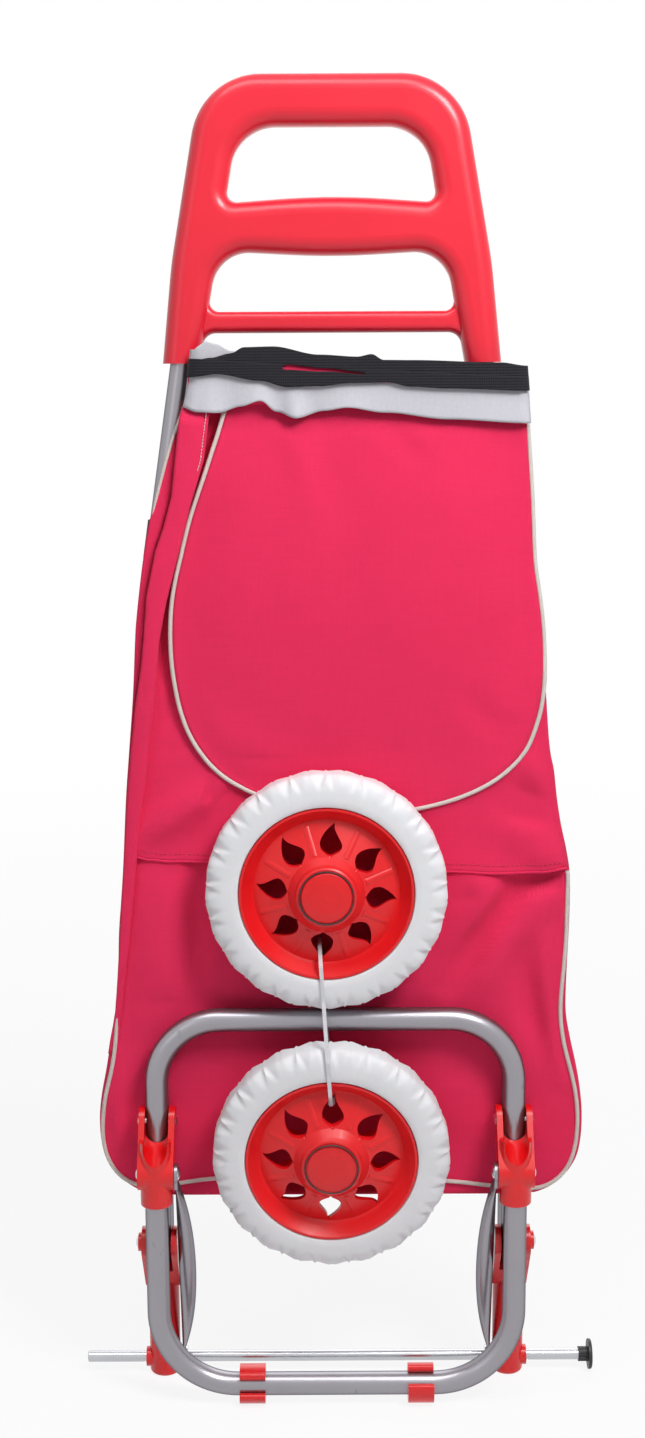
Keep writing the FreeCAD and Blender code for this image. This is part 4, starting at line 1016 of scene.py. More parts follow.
# ------------------------------------------------------------------ bag
@dataclass
class Bag:
    """The bag, hung flat: shell, pleats, front panel, lid flap, bands, piping and seams."""

    finishes: Finishes
    side: tuple[Point, ...] = (
        (-94, 740), (-96, 722), (-98, 705), (-101, 691), (-109, 670), (-118, 641), (-124.5, 617),
        (-128.8, 595), (-132.2, 572), (-135, 549), (-136, 536), (-138.3, 498), (-142, 457),
        (-144.6, 427), (-147.4, 382), (-149.5, 356), (-151.5, 333), (-152.7, 304), (-154.3, 284),
        (-157.4, 266), (-162.5, 236), (-166.4, 216), (-168.3, 198), (-167.2, 179), (-161.6, 162),
        (-153, 152), (-141, 144.5), (-122, 141), (-60, 140.5), (60, 140), (128, 140.5),
        (145, 143.5), (158, 152.5), (167, 166), (170.4, 182), (170.9, 200), (169.5, 216),
        (166.5, 234), (161.6, 256), (158.6, 273), (158.2, 290), (159, 318), (159.8, 342),
        (159.6, 372), (157, 390), (153, 408), (150, 426), (147.6, 446), (145.4, 456),
        (143.8, 468), (142, 491), (141, 507), (140.5, 535), (139, 553), (136.7, 570),
        (133.6, 590), (131.4, 630), (127, 690), (124, 727), (123, 740))
    lid: tuple[Point, ...] = (
        (-69, 704), (-74.3, 687), (-78, 674.6), (-82.7, 661), (-87.5, 647), (-92.2, 634),
        (-97, 620), (-100.7, 606.7), (-104.3, 592), (-107.8, 578), (-110.6, 562), (-111.8, 545),
        (-111.6, 526), (-109.9, 509.8), (-106.7, 492.2), (-101.8, 476.8), (-95, 463.7),
        (-85.9, 451.8), (-75.5, 442.6), (-66, 436.8), (-55.6, 431.6), (-36, 424.5), (-10, 419.5),
        (22, 418), (52, 420.5), (76, 426), (95, 433.5), (109.8, 442.3), (119.4, 450.7),
        (125.5, 457.6), (130.2, 465.5), (134.2, 476.8), (137.3, 488), (139, 500), (139.8, 512),
        (139.2, 535), (137.6, 553), (135.2, 570), (132.2, 590), (130, 630), (125.6, 690),
        (124.6, 704))
    outer_fold: tuple[Point, ...] = ((-99.5, 704), (-103, 681), (-108.6, 633), (-114.5, 612),
                                     (-120, 597), (-126.5, 567), (-129, 538), (-131, 520),
                                     (-135.6, 492), (-139, 462), (-142.4, 430), (-146, 384),
                                     (-150, 330), (-152.3, 300), (-154.6, 275), (-158.6, 256),
                                     (-160.6, 246))
    inner_fold: tuple[Point, ...] = ((-81, 704), (-84, 688), (-88.3, 657), (-97.7, 627),
                                     (-107.2, 591), (-114.6, 564), (-120, 537), (-123.4, 502),
                                     (-128, 469), (-131.3, 439), (-135.8, 414), (-138.4, 386),
                                     (-142.6, 349), (-146.1, 319), (-148.8, 299), (-150.9, 279),
                                     (-153.2, 262), (-155.4, 252), (-157, 246))
    hem: tuple[Point, ...] = ((-150, 389), (-138.4, 387.6), (-129, 385.6), (-115.4, 384.2),
                              (-90, 383.6), (-10, 380), (76, 376), (108, 374.6),
                              (138.6, 375.8), (160, 378.6))
    lining_low: tuple[Point, ...] = ((-104, 691), (-100, 692.4), (-86, 688.5), (-73, 688),
                                     (-60, 692), (-48, 695.7), (-36, 688.5), (-23, 684.3),
                                     (-6, 689), (8, 691), (33, 687.6), (74, 683), (124, 680.3))
    band_low: tuple[Point, ...] = ((-104, 709), (-94, 711.3), (-78, 713), (-50, 708.7),
                                   (-31, 704.4), (-10, 705.1), (11, 707), (33, 707.6),
                                   (48, 704.4), (72, 703), (124, 701.4))
    band_high: tuple[Point, ...] = ((-104, 719), (-94, 721.5), (-82, 723.5), (-69.3, 726.2),
                                    (-60.5, 730.2), (-42, 730.6), (-11, 725.2), (14, 723.8),
                                    (23, 725.4), (31, 721.6), (49, 721.4), (107, 719.6),
                                    (124, 717.4))
    lining_high: tuple[Point, ...] = ((-104, 721), (-96, 725), (-90, 731.5), (-86.6, 734.3),
                                      (-79.4, 732.5), (-69.3, 728), (-61, 727), (-42, 726),
                                      (-11, 721), (124, 712))
    slit: tuple[Point, ...] = ((-104, 721), (-35.6, 717.4), (-7.5, 715.4), (19.5, 712.8),
                               (124, 708.5))
    slit_wide: float = 3.3
    rim: float = 6 * MM
    deepest_fold: float = 5.5 * MM
    above_shell: float = 10 * MM
    gusset_foot: float = 246 * MM
    piping_radius: float = 1.45 * MM
    strap_half: float = 12.5 * MM
    strap_bend: float = 9.0 * MM
    platform_top: float = 284 * MM
    platform_half: float = 134 * MM
    wheel_half: float = 84 * MM

    def __post_init__(self) -> None:
        """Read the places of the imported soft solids."""
        self.body = Outline(self.side)
        self.flap = Outline(self.lid)
        self.flap_cloth = self.flap.inset(1.3 * MM)
        self.band_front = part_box("webbing_band")[0].y
        low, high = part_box("bag_body")
        self.body_front = low.y
        self.body_back = high.y
        self.panel_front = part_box("bag_front_panel")[0].y
        self.flap_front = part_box("bag_lid_flap")[0].y
        self.top = high.z
        log.info("bag: body y %.4f to %.4f, panel %.4f, lid %.4f, band %.4f, top %.4f",
                 low.y, high.y, self.panel_front, self.flap_front, self.band_front, self.top)

    def build(self) -> None:
        """Make every soft piece."""
        self.shell()
        self.front_panel()
        self.gusset()
        self.lid_flap()
        self.mouth()
        self.body_piping()
        self.back_seams()
        self.tube_straps()

    # -- the closed body
    def shell_folds(self) -> tuple[Fold, ...]:
        """Folds of the lower front.

        Returns:
            The folds.
        """
        return (Fold(((-97, 380), (-95, 336), (-99, 285)), -3.4, 9),
                Fold(((-122, 378), (-121, 329), (-124, 278)), 2.8, 17),
                Fold(((-85, 357), (-80, 314), (-72, 285)), 1.5, 12),
                Fold(((152, 376), (124, 365), (93, 323), (77, 295)), -5.4, 9),
                Fold(((91, 370), (106, 359), (98, 345), (85, 328)), 3.4, 11),
                Fold(((152, 363), (132, 349), (115, 329), (105, 302)), 3.6, 12),
                Fold(((126, 313), (133, 277), (144, 248)), -2.2, 10),
                Fold(((139, 356), (143, 313), (146, 270), (155, 226)), 2.2, 8),
                Fold(((71, 215), (85, 208), (99, 189)), 1.6, 12),
                Fold(((-154, 242), (-159, 213), (-155, 183)), 1.8, 8),
                Fold(((-118, 250), (-132, 232), (-146, 200)), -1.6, 8))

    def front_rise(self, x: float, z: float) -> float:
        """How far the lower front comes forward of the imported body."""
        rise = 2.1 * sum(f.rise(x, z) for f in self.shell_folds()) + 0.9 * MM * softness(x, z, 3)
        return self._within(rise, self._front_room(x, z)) - self.slot_depth(x, z)

    def hidden_depth(self, x: float, z: float) -> float:
        """Depth of the shell's hollow behind the gusset.

        Args:
            x: place across, in metres.
            z: height, in metres.

        Returns:
            The depth, in metres.
        """
        low, deepest = 400 * MM, 4.6 * MM
        if x > 0 or z < low:
            return 0.0
        left = self.body.sides(z)[0] + 2.5 * MM
        inside = unit((x - left) / (3 * MM))
        inside *= unit((along(self.inner_fold, z) + 1 * MM - x) / (2 * MM))
        return deepest * inside * min(1.0, (z - low) / (60 * MM))

    def _within(self, rise: float, room: float) -> float:
        """A rise that eases off before it fills the room in front, or goes too deep."""
        limit = room if rise > 0 else self.deepest_fold
        return limit * math.tanh(rise / limit)

    def slot_depth(self, x: float, z: float) -> float:
        """Depth of the hollow between the gusset's inner fold and the lid's edge.

        Args:
            x: place across, in metres.
            z: height, in metres.

        Returns:
            The depth, in metres.
        """
        low, high = 455 * MM, 535 * MM
        if z < low or x > 0:
            return 0.0
        left = along(self.inner_fold, z) - 1.0 * MM
        right = self.flap.sides(z)[0] + 1.5 * MM
        beside = max(left - x, x - right, 0.0) / (4 * MM)
        deepest = 6.5 * MM
        return deepest * max(0.0, 1 - beside) * min(1.0, (z - low) / (high - low))

    def _front_room(self, x: float, z: float) -> float:
        """How far the lower front may come forward: little behind the platform and wheel.

        Args:
            x: place across, in metres.
            z: height, in metres.

        Returns:
            The room, in metres.
        """
        above = unit((z - self.platform_top) / (16 * MM))
        beside = unit((abs(x) - self.platform_half) / (12 * MM))
        wheel = unit((abs(x) - self.wheel_half) / (14 * MM))
        return min(1.0 * MM + 5.0 * MM * max(above, beside), 1.4 * MM + 4.6 * MM * wheel)

    def shell(self) -> None:
        """The folded bag itself: front and back joined round a soft rim."""
        heights = self._heights(self.body.bottom, self.top, 1.6)
        columns = 130
        crowding = 0.6
        middle = (self.body_front + self.body_back) / 2
        half = (self.body_back - self.body_front) / 2
        points: list[Vector] = []
        for z in heights:
            left, right = self.body.sides(z)
            closing = min(1.0, (z - self.body.bottom) / (5 * MM))
            rim_z = math.sqrt(max(0.0, 1 - (1 - closing) ** 2))
            for side in (-1.0, 1.0):
                order = range(columns + 1) if side < 0 else range(columns - 1, 0, -1)
                for c in order:
                    u = -math.cos(math.pi * c / columns)
                    u = crowding * u + (1 - crowding) * (2 * c / columns - 1)
                    x = (left + right) / 2 + (right - left) / 2 * u
                    edge = min(x - left, right - x) / self.rim
                    rim = math.sqrt(max(0.0, 1 - max(0.0, 1 - edge) ** 2)) if edge < 1 else 1.0
                    y = middle + side * half * rim * rim_z
                    soft = min(1.0, edge / 2) * rim_z
                    if side < 0:
                        y -= soft * (self.front_rise(x, z) - self.hidden_depth(x, z))
                    else:
                        y -= soft * 0.5 * MM * (1 + softness(x, z, 8))
                    points.append(Vector((x, y, z)))
        count = 2 * columns
        faces = []
        for r in range(len(heights) - 1):
            for c in range(count):
                a = r * count + c
                b = r * count + (c + 1) % count
                faces.append((a, a + count, b + count, b))
        faces.append(tuple(range(count)))
        last = (len(heights) - 1) * count
        faces.append(tuple(range(last, last + count))[::-1])
        piece = mesh_piece("bag_shell", points, faces, self.finishes.cloth, "frame")
        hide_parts("bag_body")

    @staticmethod
    def _heights(low: float, high: float, crowd: float, step: float = 3.4 * MM) -> list[float]:
        """Heights from high to low, closer together towards the low end."""
        count = int((high - low) / step * 1.25)
        return [high - (high - low) * (1 - (1 - i / count) ** crowd) for i in range(count + 1)]

    # -- front panel and its hem
    def panel_folds(self) -> tuple[Fold, ...]:
        """Folds of the upper front panel, beside and below the flap.

        Returns:
            The folds.
        """
        return (Fold(((-135, 400), (-118, 412), (-97, 427), (-83, 438)), 4.2, 10),
                Fold(((-103, 380), (-91, 396), (-74, 427), (-67, 434)), -3.4, 8),
                Fold(((-135, 428), (-128, 441), (-117, 459)), -2.2, 8),
                Fold(((-127, 483), (-120, 503), (-116, 531)), 1.4, 7),
                Fold(((114, 430), (129, 420), (145, 416)), -2.6, 9),
                Fold(((111, 405), (131, 402), (152, 391)), 2.6, 12),
                Fold(((124, 468), (131, 447), (141, 433)), 2.4, 10),
                Fold(((122, 392), (140, 386), (156, 386)), 1.6, 9))

    def panel_rise(self, x: float, z: float) -> float:
        """How far the panel comes forward at a point.

        Args:
            x: place across, in metres.
            z: height, in metres.

        Returns:
            The rise, in metres.
        """
        rise = 1.5 * sum(f.rise(x, z) for f in self.panel_folds()) + 0.9 * MM * softness(x, z, 12)
        rise = max(-0.8 * MM, min(rise, self._panel_room(x, z)))
        return rise - self.slot_depth(x, z)

    def hem_lift(self, x: float, z: float) -> float:
        """How far the hem stands off the lower front, mostly at the right.

        Args:
            x: place across, in metres.
            z: height, in metres.

        Returns:
            The lift, in metres.
        """
        reach, open_lift, closed_lift = 26 * MM, 2.6 * MM, 0.6 * MM
        near = max(0.0, 1 - (z - self.hem_height(x)) / reach) ** 1.6
        open_right = 0.35 + 0.65 * unit((x - 85 * MM) / (40 * MM))
        loose = abs(x) > 86 * MM or x > 0
        lift = open_lift * near * open_right if loose else closed_lift
        return min(lift, self._panel_room(x, z) + 0.4 * MM)

    def hem_height(self, x: float) -> float:
        """Height of the panel's lower edge."""
        return level(self.hem, x)

    def front_panel(self) -> None:
        """Upper front with a turned hem that hangs over the lower front."""
        rows = 110
        columns = 100
        top = self.top + self.above_shell
        points: list[Vector] = []
        for r in range(rows + 1):
            share = r / rows
            for c in range(columns + 1):
                across = c / columns
                z = top - share * (top - self.hem_height(0))
                left = max(self.body.sides(z)[0] + 3 * MM, along(self.inner_fold, z) - 5 * MM)
                right = self.body.sides(z)[1] - 0.6 * MM
                x = left + across * (right - left)
                z = top - share * (top - self.hem_height(x))
                edge = (right - x) / (10 * MM)
                wrap = 3.6 * MM * max(0.0, 1 - edge) ** 2
                rise = self.panel_rise(x, z) * min(1.0, edge)
                y = self.panel_front + wrap - rise - self.hem_lift(x, z)
                points.append(Vector((x, y, z)))
        piece = cloth_sheet("bag_front_panel_cloth", points, grid_faces(rows + 1, columns + 1),
                            self.finishes.cloth, 0.9 * MM)
        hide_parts("bag_front_panel")
        self._hem_fold()

    def _panel_room(self, x: float, z: float) -> float:
        """How far the panel may come forward: little behind the wheel and the flap.

        Args:
            x: place across, in metres.
            z: height, in metres.

        Returns:
            The room, in metres.
        """
        near_wheel, wheel_top = 90 * MM, 455 * MM
        behind_wheel, behind_flap, free = 1.2 * MM, 0.0, 6.0 * MM
        if abs(x) < near_wheel and z < wheel_top:
            return behind_wheel
        left, right = self.flap.sides(z)
        if z > self.flap.bottom and left - 2 * MM < x < right + 2 * MM:
            return behind_flap
        return free

    def _hem_line(self, up: float, out: float) -> list[Vector]:
        """A line over the hem, some way above the panel's edge and out from its face.

        Args:
            up: how far above the panel's edge.
            out: how far out from its face.

        Returns:
            Its points, from left to right.
        """
        middle, steps = 384 * MM, 139
        left = along(self.inner_fold, middle) + 0.5 * MM
        right = self.body.sides(middle)[1] - 1.5 * MM
        line = []
        for i in range(steps + 1):
            x = left + (right - left) * i / steps
            z = self.hem_height(x) + up
            forward = self.panel_rise(x, z)
            line.append(Vector((x, self.panel_front - forward - self.hem_lift(x, z) - out, z)))
        return line

    def _hem_fold(self) -> None:
        """The rolled edge of the hem and the sewn line above it."""
        cord_piece("hem_roll", self._hem_line(0.4 * MM, -0.1 * MM), 0.95 * MM,
                   self.finishes.cloth)
        stitches("hem_stitches", self._hem_line(5.6 * MM, 0.55 * MM), self.finishes.thread)

    # -- left gusset
    def gusset(self) -> None:
        """The side gusset, folded in a flat pleat along the left of the front."""
        top = self.top + self.above_shell
        rows = 150
        back = self.body_front - 0.9 * MM
        front = self.panel_front - 5.2 * MM
        points: list[Vector] = []
        for r in range(rows + 1):
            z = top - (top - self.gusset_foot) * r / rows
            section = self._gusset_section(z, back, front, r / rows)
            points += [Vector((x, y, z)) for x, y in section]
        cloth_sheet("gusset_cloth", points, grid_faces(rows + 1, len(section)),
                    self.finishes.cloth, 0.7 * MM)
        edge = []
        start, length, steps = 692 * MM, 132 * MM, 69
        for i in range(steps + 1):
            z = start - length * i / steps
            sunk = 3.0 * MM * unit((655 * MM - z) / (75 * MM))
            edge.append(Vector((self.body.sides(z)[0] + 0.6 * MM + 0.5 * sunk,
                                back - 0.6 * MM + sunk, z)))
        cord_piece("gusset_piping", edge, 1.15 * MM, self.finishes.piping)
        binding = []
        start, length, steps = 689 * MM, 39 * MM, 39
        for i in range(steps + 1):
            z = start - length * i / steps
            binding.append(Vector((along(self.inner_fold, z) - 1.2 * MM, front - 1.75 * MM, z)))
        stitches("gusset_binding", binding, self.finishes.piping, 2.2 * MM,
                 0.26 * MM)

    def _gusset_section(self, z: float, back: float, front: float, share: float
                        ) -> list[Point]:
        """Level section of the gusset: under layer, fold, top layer, fold, hidden layer.

        Args:
            z: height of the section.
            back: y of the under layer.
            front: y of the top layer.
            share: how far down the gusset it is, 0 to 1.

        Returns:
            Points (x, y) of the section.
        """
        left = self.body.sides(z)[0]
        outer = max(along(self.outer_fold, z), left + 0.5 * MM)
        inner = max(along(self.inner_fold, z), outer + 0.4 * MM)
        fade = unit((1 - share) * 2.8 - 0.25)
        back += 2.6 * MM * max(0.0, 1 - (1 - share) / 0.08)
        under = unit((694 * MM - z) / (12 * MM))
        front = back + (front - back) * (0.14 + 0.86 * fade) * (0.2 + 0.8 * under)
        middle = (back + front) / 2
        section: list[Point] = [(left + 0.3 * MM, back + 2.2 * MM)]
        crease = unit((z - 440 * MM) / (60 * MM))
        for i in range(24):
            t = i / 23
            x = left + 0.6 * MM + max(inner - left - 2.6 * MM, 0.2 * MM) * t
            dive = unit((x - outer + 2.0 * MM) / (1.8 * MM))
            section.append((x, back - 0.5 * MM * math.sin(math.pi * min(1.0, 1.6 * t))
                            - 0.25 * MM * softness(x, z, 17) + 3.4 * MM * crease * dive))
        section.append((inner + 0.2 * MM, (back + middle) / 2))
        section.append((inner + 0.5 * MM, (middle + front) / 2))
        for i in range(16):
            t = i / 15
            x = inner + (outer - inner) * t
            puff = 1.5 * MM * math.sin(math.pi * min(1.0, 0.12 + 0.8 * t)) ** 0.6 * fade
            section.append((x, front - puff - 0.35 * MM * softness(x, z, 21) * fade))
        section.append((outer - 0.5 * MM, (front + middle) / 2))
        for i in range(6):
            t = i / 5
            section.append((outer + max(inner - outer - 1.5 * MM, 0.2 * MM) * t,
                            middle + 0.15 * MM * t))
        return section

    # -- lid flap
    def flap_folds(self) -> tuple[Fold, ...]:
        """Soft folds of the lid.

        Returns:
            The folds.
        """
        return (Fold(((-64, 670), (-68, 604), (-75, 537)), 1.4, 20),
                Fold(((68, 669), (89, 590), (96, 523)), 1.4, 24),
                Fold(((-4, 676), (6, 617), (-1, 564)), -1.2, 16),
                Fold(((-99, 503), (-73, 469), (-32, 455)), 1.4, 12),
                Fold(((122, 617), (129, 563), (120, 509)), -1.2, 12),
                Fold(((-40, 690), (-24, 660), (-20, 630)), 1.6, 9),
                Fold(((30, 690), (44, 668), (60, 650)), -1.2, 9),
                Fold(((84, 500), (104, 480), (118, 470)), -1.4, 9))

    def flap_y(self, x: float, z: float) -> float:
        """Place of the lid's front face.

        Args:
            x: place across, in metres.
            z: height, in metres.

        Returns:
            y of the face, in metres.
        """
        left, right = self.flap.sides(z)
        share = (self.flap.top - z) / (self.flap.top - self.flap.bottom)
        across = 2 * (x - left) / (right - left) - 1
        crown = (1 - min(1.0, abs(across)) ** 2.2)
        belly_end, puff = 0.86, 6.0 * MM
        belly = 0.0
        if share < belly_end:
            belly = math.sin(math.pi * min(1.0, max(0.0, share) / belly_end)) ** 1.2
        rise = puff * crown * belly
        rise += sum(f.rise(x, z) for f in self.flap_folds()) + 0.8 * MM * softness(x, z, 30)
        if z < 458 * MM and abs(x + 8 * MM) < 90 * MM:
            rise = min(rise, 0.5 * MM)
        tucked = unit((self.flap.top - 6 * MM - z) / (26 * MM))
        edge = min(x - left, (right - x) * 1.6, z - self.flap.bottom) / (9 * MM)
        curl = 2.0 * MM * max(0.0, 1 - edge) ** 2 if x < 60 * MM else 0.0
        return self.flap_front + 1.6 * MM - tucked * (1.6 * MM + max(-0.3 * MM, rise) + curl)

    def lid_flap(self) -> None:
        """The lid, hanging over the front, with its piping."""
        heights = self._heights(self.flap_cloth.bottom, self.flap_cloth.top, 1.5, 2.8 * MM)
        columns = 90
        points: list[Vector] = []
        for z in heights:
            left, right = self.flap_cloth.sides(z)
            for c in range(columns + 1):
                x = left + (right - left) * c / columns
                edge = min(x - left, right - x, z - self.flap_cloth.bottom) / (3 * MM)
                tuck = 0.7 * MM * max(0.0, 1 - edge) ** 2
                points.append(Vector((x, self.flap_y(x, z) + tuck + 0.5 * MM, z)))
        piece = cloth_sheet("lid_flap_cloth", points, grid_faces(len(heights), columns + 1),
                            self.finishes.cloth, 1.0 * MM)
        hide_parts("bag_lid_flap")
        line = eased(resampled(self._flap_edge(0.0), 2.0 * MM), 4)
        cord = cord_piece("lid_piping", line, self.piping_radius, self.finishes.piping)
        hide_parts("flap_piping")
        seam = eased(resampled(self._flap_edge(4.0 * MM, 0.3 * MM), 2.0 * MM), 4)
        stitches("lid_stitches", seam, self.finishes.thread, 2.8 * MM, 0.22 * MM)

    def _flap_edge(self, inwards: float, lift: float = 0.0) -> list[Vector]:
        """A line round the lid's free edge, some way inside it, from the top left.

        Args:
            inwards: how far inside the edge.
            lift: how far it is moved to the front.

        Returns:
            Its points, in order.
        """
        line = []
        for x, z in self.flap.inset(inwards).line:
            inside = 1.5 * MM if x < 0 else -1.5 * MM
            back = 1.6 * MM * unit((z - 505 * MM) / (25 * MM)) if x > 0 else 0.0
            line.append(Vector((x, self.flap_y(x + inside, z) + 0.4 * MM + back - lift, z)))
        return line

    # -- mouth
    def mouth(self) -> None:
        """Lining strip with its wavy edge, and the two layers of black webbing with a slit."""
        front = min(self.band_front, self.flap_front, self.panel_front - 6.8 * MM) - 0.6 * MM
        self._back_wall(front)
        self._strip("lining_back_strip", lambda x: level(self.slit, x),
                    lambda x: max(level(self.lining_high, x), level(self.slit, x) + 8 * MM),
                    front + 1.0 * MM, 0.6 * MM, 0.9,
                    self.finishes.lining)
        lining = self._strip("lining_strip", lambda x: level(self.lining_low, x),
                             lambda x: level(self.slit, x) - 5 * MM, front, 0.6 * MM, 2.6,
                             self.finishes.lining)
        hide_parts("lining_band")
        self._strip("mouth_cloth", lambda x: level(self.slit, x) - 4.5 * MM,
                    lambda x: level(self.slit, x) + 2.8 * MM, front - 0.6 * MM, 0.5 * MM, 0.2,
                    self.finishes.cloth, inset=12 * MM)
        upper = self._strip("webbing_back_layer", lambda x: self._slit_edge(x, 1.0),
                            lambda x: level(self.band_high, x), front - 1.9 * MM, 1.2 * MM, 0.7,
                            self.finishes.webbing)
        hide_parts("webbing_band")
        self._strip("webbing_front_layer", lambda x: level(self.band_low, x),
                    lambda x: self._slit_edge(x, -1.0), front - 2.7 * MM, 1.2 * MM, 0.7,
                    self.finishes.webbing)

    def _back_wall(self, front: float) -> None:
        """The back of the mouth: cloth from the shell's top up to a band of webbing.

        Args:
            front: y of the lining strip in front of it.
        """
        for name, low, finish, slot, proud in (
                ("mouth_back_cloth", -14.0, self.finishes.cloth, "bag_fabric", 0.0),
                ("webbing_rear_band", 5.0, self.finishes.webbing, "black_webbing", 1.1)):
            rows, columns = 12, 120
            points: list[Vector] = []
            for r in range(rows + 1):
                for c in range(columns + 1):
                    left, right = self.body.sides(self.top)
                    x = left + (right - left) * (0.03 + 0.955 * c / columns)
                    bottom = self.top + low * MM
                    top = level(self.band_high, x) - 1.2 * MM
                    z = bottom + (top - bottom) * r / rows
                    forward = unit((z - self.top - 1 * MM) / (16 * MM))
                    forward = forward * forward * (3 - 2 * forward)
                    y = self.body_back + (front + 2.6 * MM - self.body_back) * forward
                    y += (proud + 0.3 * softness(x, z, 52)) * MM + 0.3 * MM
                    points.append(Vector((x, y, z)))
            cloth_sheet(name, points, grid_faces(rows + 1, columns + 1), finish, 0.8 * MM)

    def _slit_edge(self, x: float, side: float) -> float:
        """Edge of a webbing layer at the slit: apart inside it, overlapping beside it.

        Args:
            x: place across, in metres.
            side: 1 for the layer above the slit, -1 for the one below.

        Returns:
            The edge's height, in metres.
        """
        start, end = self.slit[1][0] * MM, self.slit[3][0] * MM
        inside = unit((x - start) / (1.4 * MM)) if x < end else 0.0
        taper = unit((end - x) / (end - start))
        gap = self.slit_wide * MM / 2 * (0.25 + 0.75 * taper) * inside
        lap = 2.2 * MM * (1 - inside)
        return level(self.slit, x) + side * (gap - lap)

    def _strip(self, name: str, low: Callable[[float], float], high: Callable[[float], float],
               y: float, thick: float, sway: float, material: bpy.types.Material,
               inset: float = 0.0) -> bpy.types.Object:
        """A strip of cloth across the mouth between two edge lines.

        Args:
            name: the piece's name.
            low: height of its lower edge at an x.
            high: height of its upper edge at an x.
            y: place of its middle.
            thick: its thickness.
            sway: how unevenly it hangs, in millimetres.
            material: its finish.
            inset: how far its ends stay inside the mouth.

        Returns:
            The piece.
        """
        columns = 150
        rows = 12
        shoulders = 7 * MM
        foot, rise = 0.712, 0.010
        points: list[Vector] = []
        for r in range(rows + 1):
            for c in range(columns + 1):
                left, right = self.body.sides(foot + rise * r / rows)
                x = left + inset + (right - left - 2 * inset) * c / columns
                bottom, top = low(x), high(x)
                z = bottom + (top - bottom) * r / rows
                left, right = self.body.sides(z)
                left, right = left + inset, right - inset
                x = left + (right - left) * c / columns
                loose = (1 - r / rows) ** 1.3
                edge = min(x - left, right - x) / shoulders
                turn = (3.6 * MM * max(0.0, 1 - edge) ** 2) if inset == 0.0 else 0.0
                drape = self._drape(x) * loose if sway > 1 else 0.0
                wave = 0.35 * sway * MM * loose * softness(x, z, 40)
                points.append(Vector((x, y - wave - drape + turn, z)))
        faces = [tuple(reversed(f)) for f in grid_faces(rows + 1, columns + 1)]
        return cloth_sheet(name, points, faces, material, thick)

    @staticmethod
    def _drape(x: float) -> float:
        """Soft vertical folds of the lining's loose left half.

        Args:
            x: place across, in metres.

        Returns:
            How far forward, in metres.
        """
        x = x / MM
        return MM * (2.4 * hump(x + 52, 9) + 3.0 * hump(x + 27, 6) - 1.6 * hump(x + 38, 6)
                     - 1.4 * hump(x + 15, 7) + 1.6 * hump(x - 10, 13) + 1.5 * hump(x + 84, 7)
                     - 1.2 * hump(x + 70, 7))

    # -- seam round the lower front
    def body_piping(self) -> None:
        """Cord piping of the lower seam: down the right, along the base, up the left."""
        route = ((158, 376), (157.7, 350), (157.4, 326), (156, 306), (154.2, 286), (154, 270),
                 (157, 251), (162, 233), (166, 216), (167.8, 199), (167, 180), (163.6, 164.5),
                 (156.5, 153.5), (146.5, 146.5), (135, 144.5), (112, 147), (90, 150), (74, 151.5),
                 (0, 153), (-60, 154), (-88, 154), (-102, 152.5), (-116, 150), (-138, 148),
                 (-149.6, 151.5), (-158, 159), (-163.8, 170), (-166.3, 183), (-165.8, 199),
                 (-163.6, 216), (-160, 229), (-157, 243), (-155.2, 258), (-153.9, 276),
                 (-152.6, 296), (-151.5, 318), (-150, 340))
        line = []
        for point in eased(resampled([Vector((x * MM, 0, z * MM)) for x, z in route], 2.5 * MM), 6):
            left, right = self.body.sides(point.z)
            x = min(max(point.x, left + 1.6 * MM), right - 1.6 * MM)
            rim = min(x - left, right - x, point.z - self.body.bottom) / self.rim
            y = self.body_front + 1.2 * MM * max(0.0, 1 - rim) - 0.9 * MM
            line.append(Vector((x, y - min(1.0, rim / 2) * self.front_rise(x, point.z), point.z)))
        cord = cord_piece("seam_piping", eased(line, 6), self.piping_radius,
                          self.finishes.piping)
        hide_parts("body_piping")

    # -- back
    def back_seams(self) -> None:
        """Stitched seams of the flat back: down each side and across under the mouth."""
        face = self.body_back + 0.15 * MM
        steps = 89
        for name, side, inward in (("left", 0, 9 * MM), ("right", 1, -9 * MM)):
            line = []
            for i in range(steps + 1):
                z = self.top - 6 * MM - (self.top - self.body.bottom - 24 * MM) * i / steps
                line.append(Vector((self.body.sides(z)[side] + inward, face, z)))
            stitches("back_seam_" + name, line, self.finishes.thread, 3.4 * MM,
                     0.3 * MM, -1.0)
        for index, z in enumerate((self.top - 12 * MM, self.body.bottom + 30 * MM)):
            left, right = self.body.sides(z)
            steps = 79
            line = [Vector((left + (right - left) * (0.05 + 0.9 * i / steps), face, z))
                    for i in range(steps + 1)]
            stitches("back_seam_%d" % index, line, self.finishes.thread, 3.4 * MM,
                     0.3 * MM, -1.0)

    # -- webbing loops round the main tubes
    def tube_straps(self) -> None:
        """Four webbing loops, two on each main tube, sewn to the back of the bag."""
        for name, side in (("left", -1.0), ("right", 1.0)):
            low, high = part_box("bag_tube_straps_" + name)
            tube_low, tube_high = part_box("main_tube_" + name)
            tube_y = (tube_low.y + tube_high.y) / 2
            tube = Silhouette("main_tube_" + name)
            loops = []
            for z in (low.z + self.strap_half, high.z - self.strap_half):
                left, right = tube.sides(z)
                loops.append(self._loop("strap_%s_%d" % (name, len(loops)),
                                        Vector(((left + right) / 2, tube_y, z)), side))
            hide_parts("bag_tube_straps_" + name)

